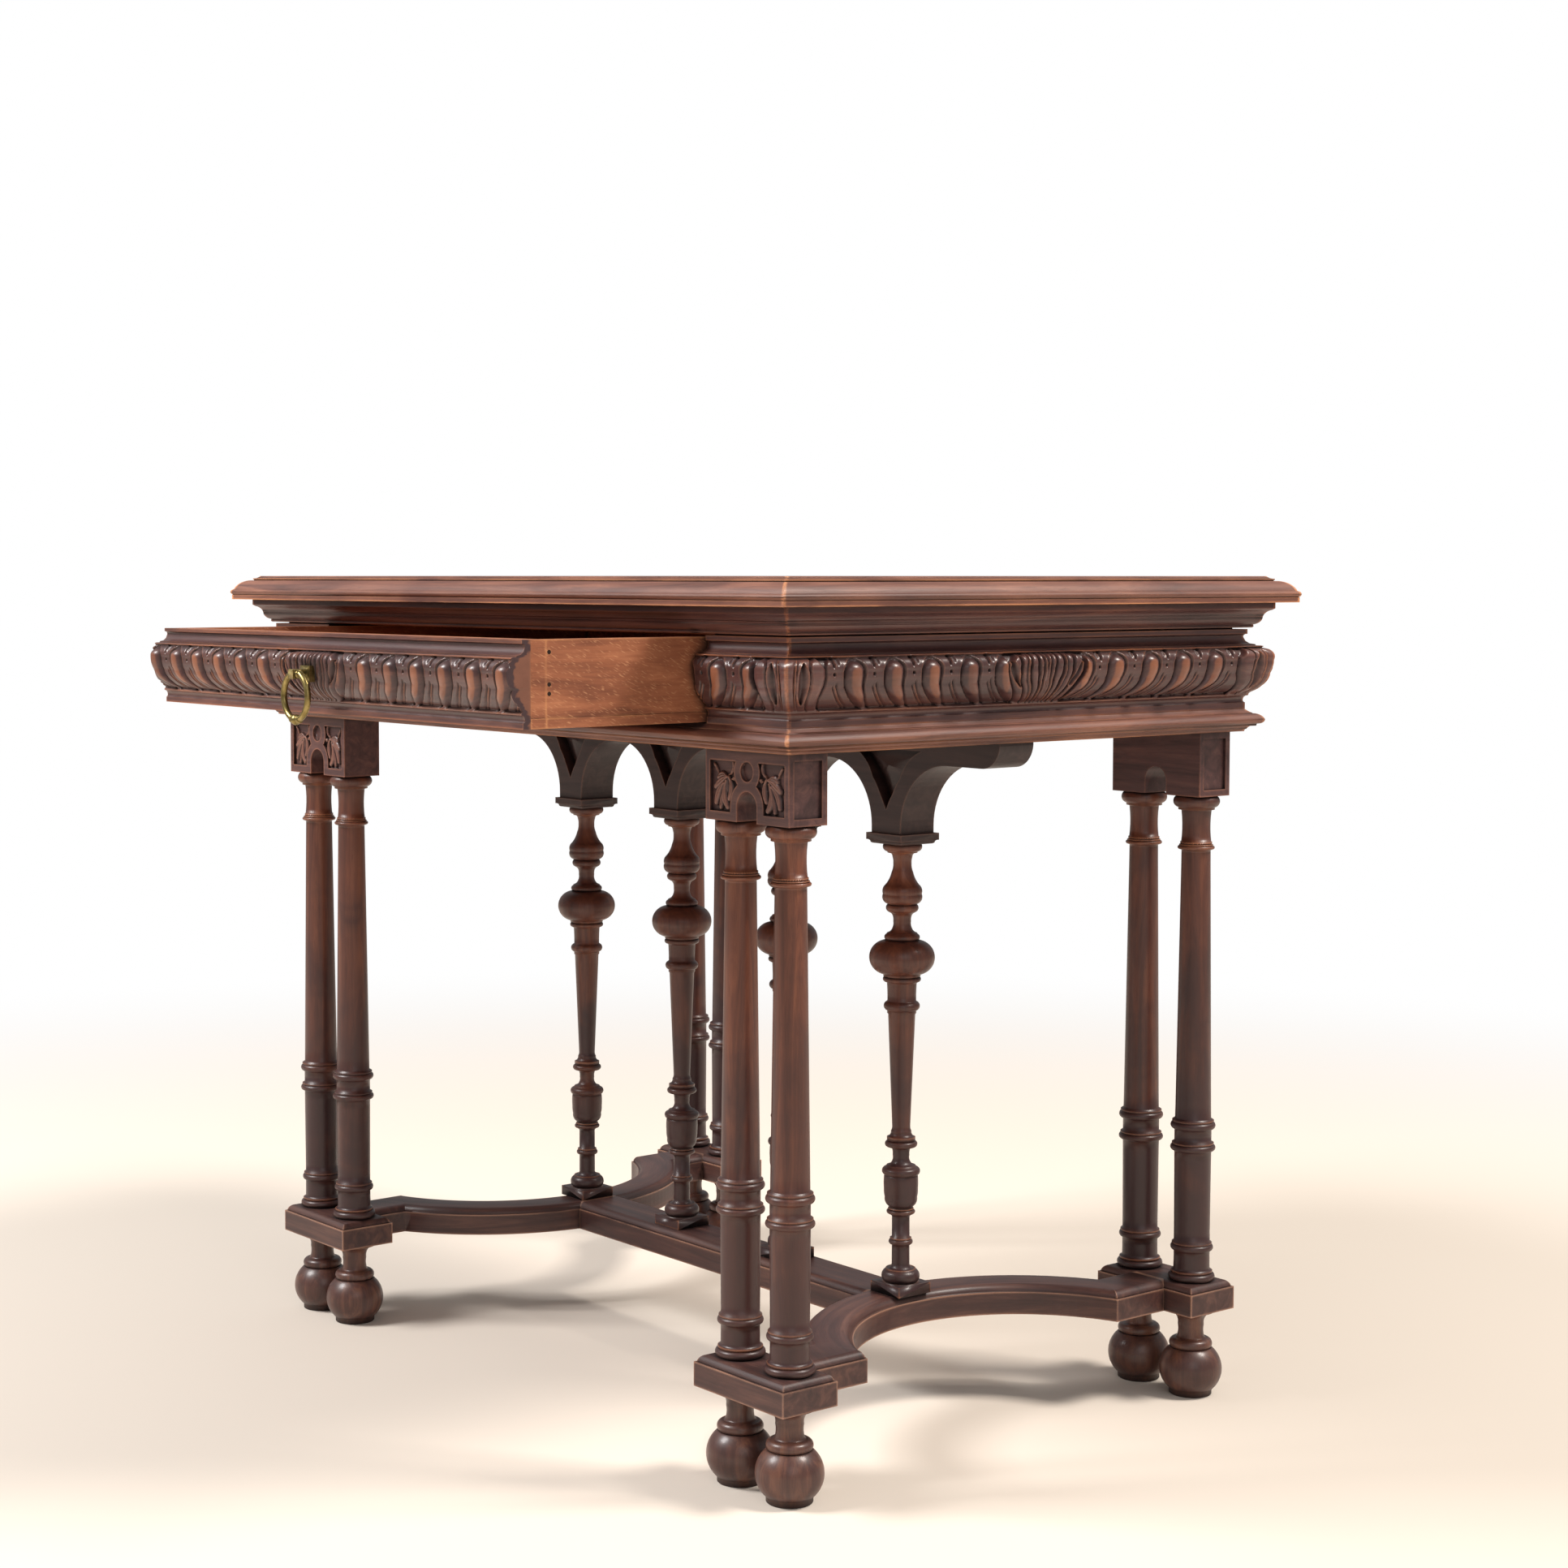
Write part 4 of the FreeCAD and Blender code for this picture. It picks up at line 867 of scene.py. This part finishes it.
# left, right, foot and crown of the grid, from the block's middle and from its foot
SPRAY_FIELD = (13.5, 48.0, 6.8, 49.8)
FIELD_SINK = 3.0
SPRAY_DIP = 0.5
SPRAY_LIMIT = 2.9
SPRAY_PROUD = 1.6
SPRAY_BACK = 1.2
SPRAY_CRISP = 50.0
SPINE_POINTS = 22
EYE_AT = (25.6, 39.2)
EYE_R = 1.5
EYE_CUT = 2.6
VEIN_CUT = 0.8
# each lobe: start, bend and tip as (out from the block's middle, up from its foot), half-width, rise
SPRAY_LOBES = (
    ((26.0, 36.0), (29.0, 31.0), (30.5, 22.0), 4.6, 2.0),
    ((24.5, 37.5), (17.0, 40.0), (18.6, 48.0), 1.8, 2.5),
    ((26.5, 36.5), (33.5, 40.0), (37.5, 35.0), 3.0, 2.9),
    ((37.0, 36.0), (39.5, 42.0), (43.5, 46.0), 1.4, 2.3),
    ((26.0, 36.0), (33.0, 34.5), (41.0, 27.5), 3.7, 3.2),
    ((30.0, 31.0), (38.5, 26.5), (40.5, 14.5), 3.7, 3.1),
    ((27.5, 33.0), (33.5, 20.0), (25.5, 11.5), 3.9, 3.2),
    ((24.0, 36.0), (18.5, 29.0), (23.5, 18.5), 3.5, 3.1),
    ((31.0, 26.0), (34.0, 17.0), (34.5, 10.5), 2.7, 2.9),
    ((19.5, 34.5), (18.0, 34.5), (16.5, 35.5), 2.3, 2.9),
)


def lobe_rise(out, up, start, bend, tip, width, rise):
    """Height of one lobe: narrow at its root, round at its tip, with a vein down its back."""
    t = np.linspace(0, 1, SPINE_POINTS)
    spine = [(1 - t) ** 2 * start[i] + 2 * t * (1 - t) * bend[i] + t ** 2 * tip[i] for i in (0, 1)]
    away = np.hypot(out[:, None] - spine[0], up[:, None] - spine[1])
    nearest = away.argmin(axis=1)
    away, at = away.min(axis=1), t[nearest]
    half = width * (0.40 + 0.60 * ease(at, 0, 0.6)) * (1 - 0.25 * ease(at, 0.75, 1.0))
    full = np.sqrt(np.clip(1 - (away / half) ** 2, 0, 1))
    vein = near(away, 0.9) * (full > 0) * ease(at, 0.05, 0.3) * (1 - ease(at, 0.75, 0.9))
    return rise * full - VEIN_CUT * vein


def spray(block, side_x, side_y, toward):
    """toward is 1 for the field to the right of the ring and -1 for the left one."""
    low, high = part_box(block)
    middle = (low[0] + high[0]) / 2
    face = high[1] if side_y > 0 else low[1]
    left, right, foot, crown = SPRAY_FIELD
    bm = bmesh.new()
    bmesh.ops.create_grid(bm, x_segments=int((right - left) / SPRAY_CELL),
                          y_segments=int((crown - foot) / SPRAY_CELL), size=0.5)
    out = left + (np.array([v.co.x for v in bm.verts]) + 0.5) * (right - left)
    up = foot + (np.array([v.co.y for v in bm.verts]) + 0.5) * (crown - foot)
    height = np.zeros_like(out)
    for lobe in SPRAY_LOBES:
        height = np.maximum(height, lobe_rise(out, up, *lobe))
    off_eye = np.hypot(out - EYE_AT[0], up - EYE_AT[1])
    height -= EYE_CUT * (1 - ease(off_eye, EYE_R - 0.6, EYE_R + 0.3)) * (height > 0)
    height -= SPRAY_DIP * (height < 0.05)
    cut_mark = bm.verts.layers.float.new("carved")
    proud_mark = bm.verts.layers.float.new("proud")
    for vert, aside, above, rise in zip(bm.verts, out.tolist(), up.tolist(), height.tolist()):
        sunk = FIELD_SINK - min(rise, SPRAY_LIMIT)
        vert.co = (middle + toward * aside * MM, face - side_y * sunk * MM, low[2] + above * MM)
        vert[cut_mark] = FIELD_SINK - rise
        vert[proud_mark] = max(0.0, rise - SPRAY_PROUD) / SPRAY_PROUD
    edge = [e for e in bm.edges if e.is_boundary]
    grown = bmesh.ops.extrude_edge_only(bm, edges=edge)["geom"]
    back = [g for g in grown if isinstance(g, bmesh.types.BMVert)]
    bmesh.ops.translate(bm, verts=back, vec=(0, -side_y * SPRAY_BACK * MM, 0))
    rim = [g for g in grown if isinstance(g, bmesh.types.BMEdge) and g.is_boundary]
    bmesh.ops.edgeloop_fill(bm, edges=rim)
    bmesh.ops.recalc_face_normals(bm, faces=bm.faces)
    name = "spray_" + block[len("corner_block_"):] + ("_outer" if toward == side_x else "_inner")
    return settle(bm, name, "desk", spray_across, crisp=SPRAY_CRISP)


for side_x, x_word in ((-1, "left"), (1, "right")):
    for side_y, y_word in ((-1, "front"), (1, "rear")):
        for toward in (-1, 1):
            made = spray("corner_block_" + y_word + "_" + x_word, side_x, side_y, toward)
            print(made.name, len(made.data.polygons), "faces")

# %% Finishes for the nodes that are shown as packed
SHOWN = {"walnut": walnut_across, "oak": oak_finish, "iron": iron_finish}
OAK_NODES = {"drawer_lining", "drawer_side_left", "drawer_side_right", "drawer_back", "drawer_bottom",
             "drawer_runners", "drawer_guides", "drawer_stops", "kicker_rail"}
for name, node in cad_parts.items():
    if node.hide_render:
        continue
    slot = "oak" if name in OAK_NODES else "iron" if name == "drawer_nails" else "walnut"
    if not node.material_slots:
        node.data.materials.append(SHOWN[slot])
    for held in node.material_slots:
        held.material = SHOWN[slot]
    print(name, "is shown as packed, in", slot)

# %% [markdown]
# ## Floor, light and camera
# The desk stands in a plain white studio. The main light hangs high behind the right end, so that the
# top's shadow falls forward on the drawer and the polish shines along the carving. A second light, high in
# front and to the left, models the columns and the lobes, a weak one beside the camera opens the shadows
# on the end, and the room itself fills the rest. The floor fades into the white of the room, so no line
# shows where it stops.

# %% Floor that fades into the white of the room
FADE_FROM = 0.9
FADE_TO = 2.6
FLOOR_TONE = tone(222, 212, 200)
FLOOR_HALF = 30.0
WHITE = (1, 1, 1, 1)


def studio_floor():
    bm = bmesh.new()
    bmesh.ops.create_grid(bm, x_segments=1, y_segments=1, size=FLOOR_HALF)
    bmesh.ops.translate(bm, verts=bm.verts, vec=(0, 0, FLOOR))
    mesh = bpy.data.meshes.new("floor")
    bm.to_mesh(mesh)
    bm.free()
    finish = Finish("floor")
    place = finish.place()
    flat = finish.node("ShaderNodeVectorMath", {"operation": "MULTIPLY"}, {0: place, 1: (1.0, 1.0, 0.0)})
    away = finish.node("ShaderNodeVectorMath", {"operation": "LENGTH"}, {0: flat}, out="Value")
    sight = finish.node("ShaderNodeLightPath", {}, {}, out="Is Camera Ray")
    laid = finish.node("ShaderNodeBsdfDiffuse", {}, {"Color": FLOOR_TONE})
    white = finish.node("ShaderNodeEmission", {}, {"Color": WHITE, "Strength": 1.0})
    fade = finish.between(away, FADE_FROM, FADE_TO) * sight
    blend = finish.node("ShaderNodeMixShader", {}, {0: fade, 1: laid, 2: white})
    finish.node("ShaderNodeOutputMaterial", {}, {"Surface": blend})
    mesh.materials.append(finish.material)
    floor = bpy.data.objects.new("floor", mesh)
    bpy.context.scene.collection.objects.link(floor)


studio_floor()
print("floor laid at", FLOOR)


# %% Lights
def soft_light(name, place, aim, size, power, colour=(1, 1, 1)):
    lamp = bpy.data.lights.new(name, "AREA")
    lamp.shape = "SQUARE"
    lamp.size = size
    lamp.energy = power
    lamp.color = colour
    light = bpy.data.objects.new(name, lamp)
    bpy.context.scene.collection.objects.link(light)
    from_here = np.array(aim, float) - np.array(place, float)
    flat = math.hypot(from_here[0], from_here[1])
    light.location = place
    light.rotation_euler = (math.atan2(flat, -from_here[2]), 0, math.atan2(-from_here[0], from_here[1]))
    return light


MIDDLE = (0.0, 0.0, FLOOR + 0.5)
soft_light("main_light", (2.1, 1.65, FLOOR + 3.75), MIDDLE, 1.1, 190, (1.0, 0.93, 0.86))
soft_light("front_light", (-1.5, -2.5, FLOOR + 3.0), MIDDLE, 1.3, 165, (1.0, 0.98, 0.97))
soft_light("near_light", (2.9, -1.6, FLOOR + 1.7), MIDDLE, 1.8, 12)

AIR_LIGHT = 0.36
AIR_SEEN = 1.0


def studio_air():
    """The room: white where the camera sees it, and weaker where it lights the desk."""
    world = bpy.data.worlds.new("studio")
    bpy.context.scene.world = world
    world.use_nodes = True
    nodes, links = world.node_tree.nodes, world.node_tree.links
    nodes.clear()
    path = nodes.new("ShaderNodeLightPath")
    strength = nodes.new("ShaderNodeMapRange")
    strength.inputs["To Min"].default_value = AIR_LIGHT
    strength.inputs["To Max"].default_value = AIR_SEEN
    links.new(path.outputs["Is Camera Ray"], strength.inputs["Value"])
    air = nodes.new("ShaderNodeBackground")
    air.inputs["Color"].default_value = WHITE
    links.new(strength.outputs[0], air.inputs["Strength"])
    out = nodes.new("ShaderNodeOutputWorld")
    links.new(air.outputs[0], out.inputs["Surface"])


studio_air()
print("three lights and a pale room")

# %% Camera
CAMERA_AT = (2.03493, -1.63414, FLOOR + 0.75097)
CAMERA_PITCH = math.radians(86.574)
CAMERA_TURN = math.radians(52.144)
camera_data = bpy.data.cameras.new("camera")
camera = bpy.data.objects.new("camera", camera_data)
bpy.context.scene.collection.objects.link(camera)
camera_data.lens = 62.41
camera_data.sensor_width = 36.0
camera_data.shift_x = 0.0600
camera_data.shift_y = -0.0295
camera.location = CAMERA_AT
camera.rotation_euler = (CAMERA_PITCH, 0, CAMERA_TURN)
bpy.context.scene.camera = camera
bpy.context.scene.view_settings.view_transform = "Standard"
print("camera at", tuple(round(v, 3) for v in camera.location))
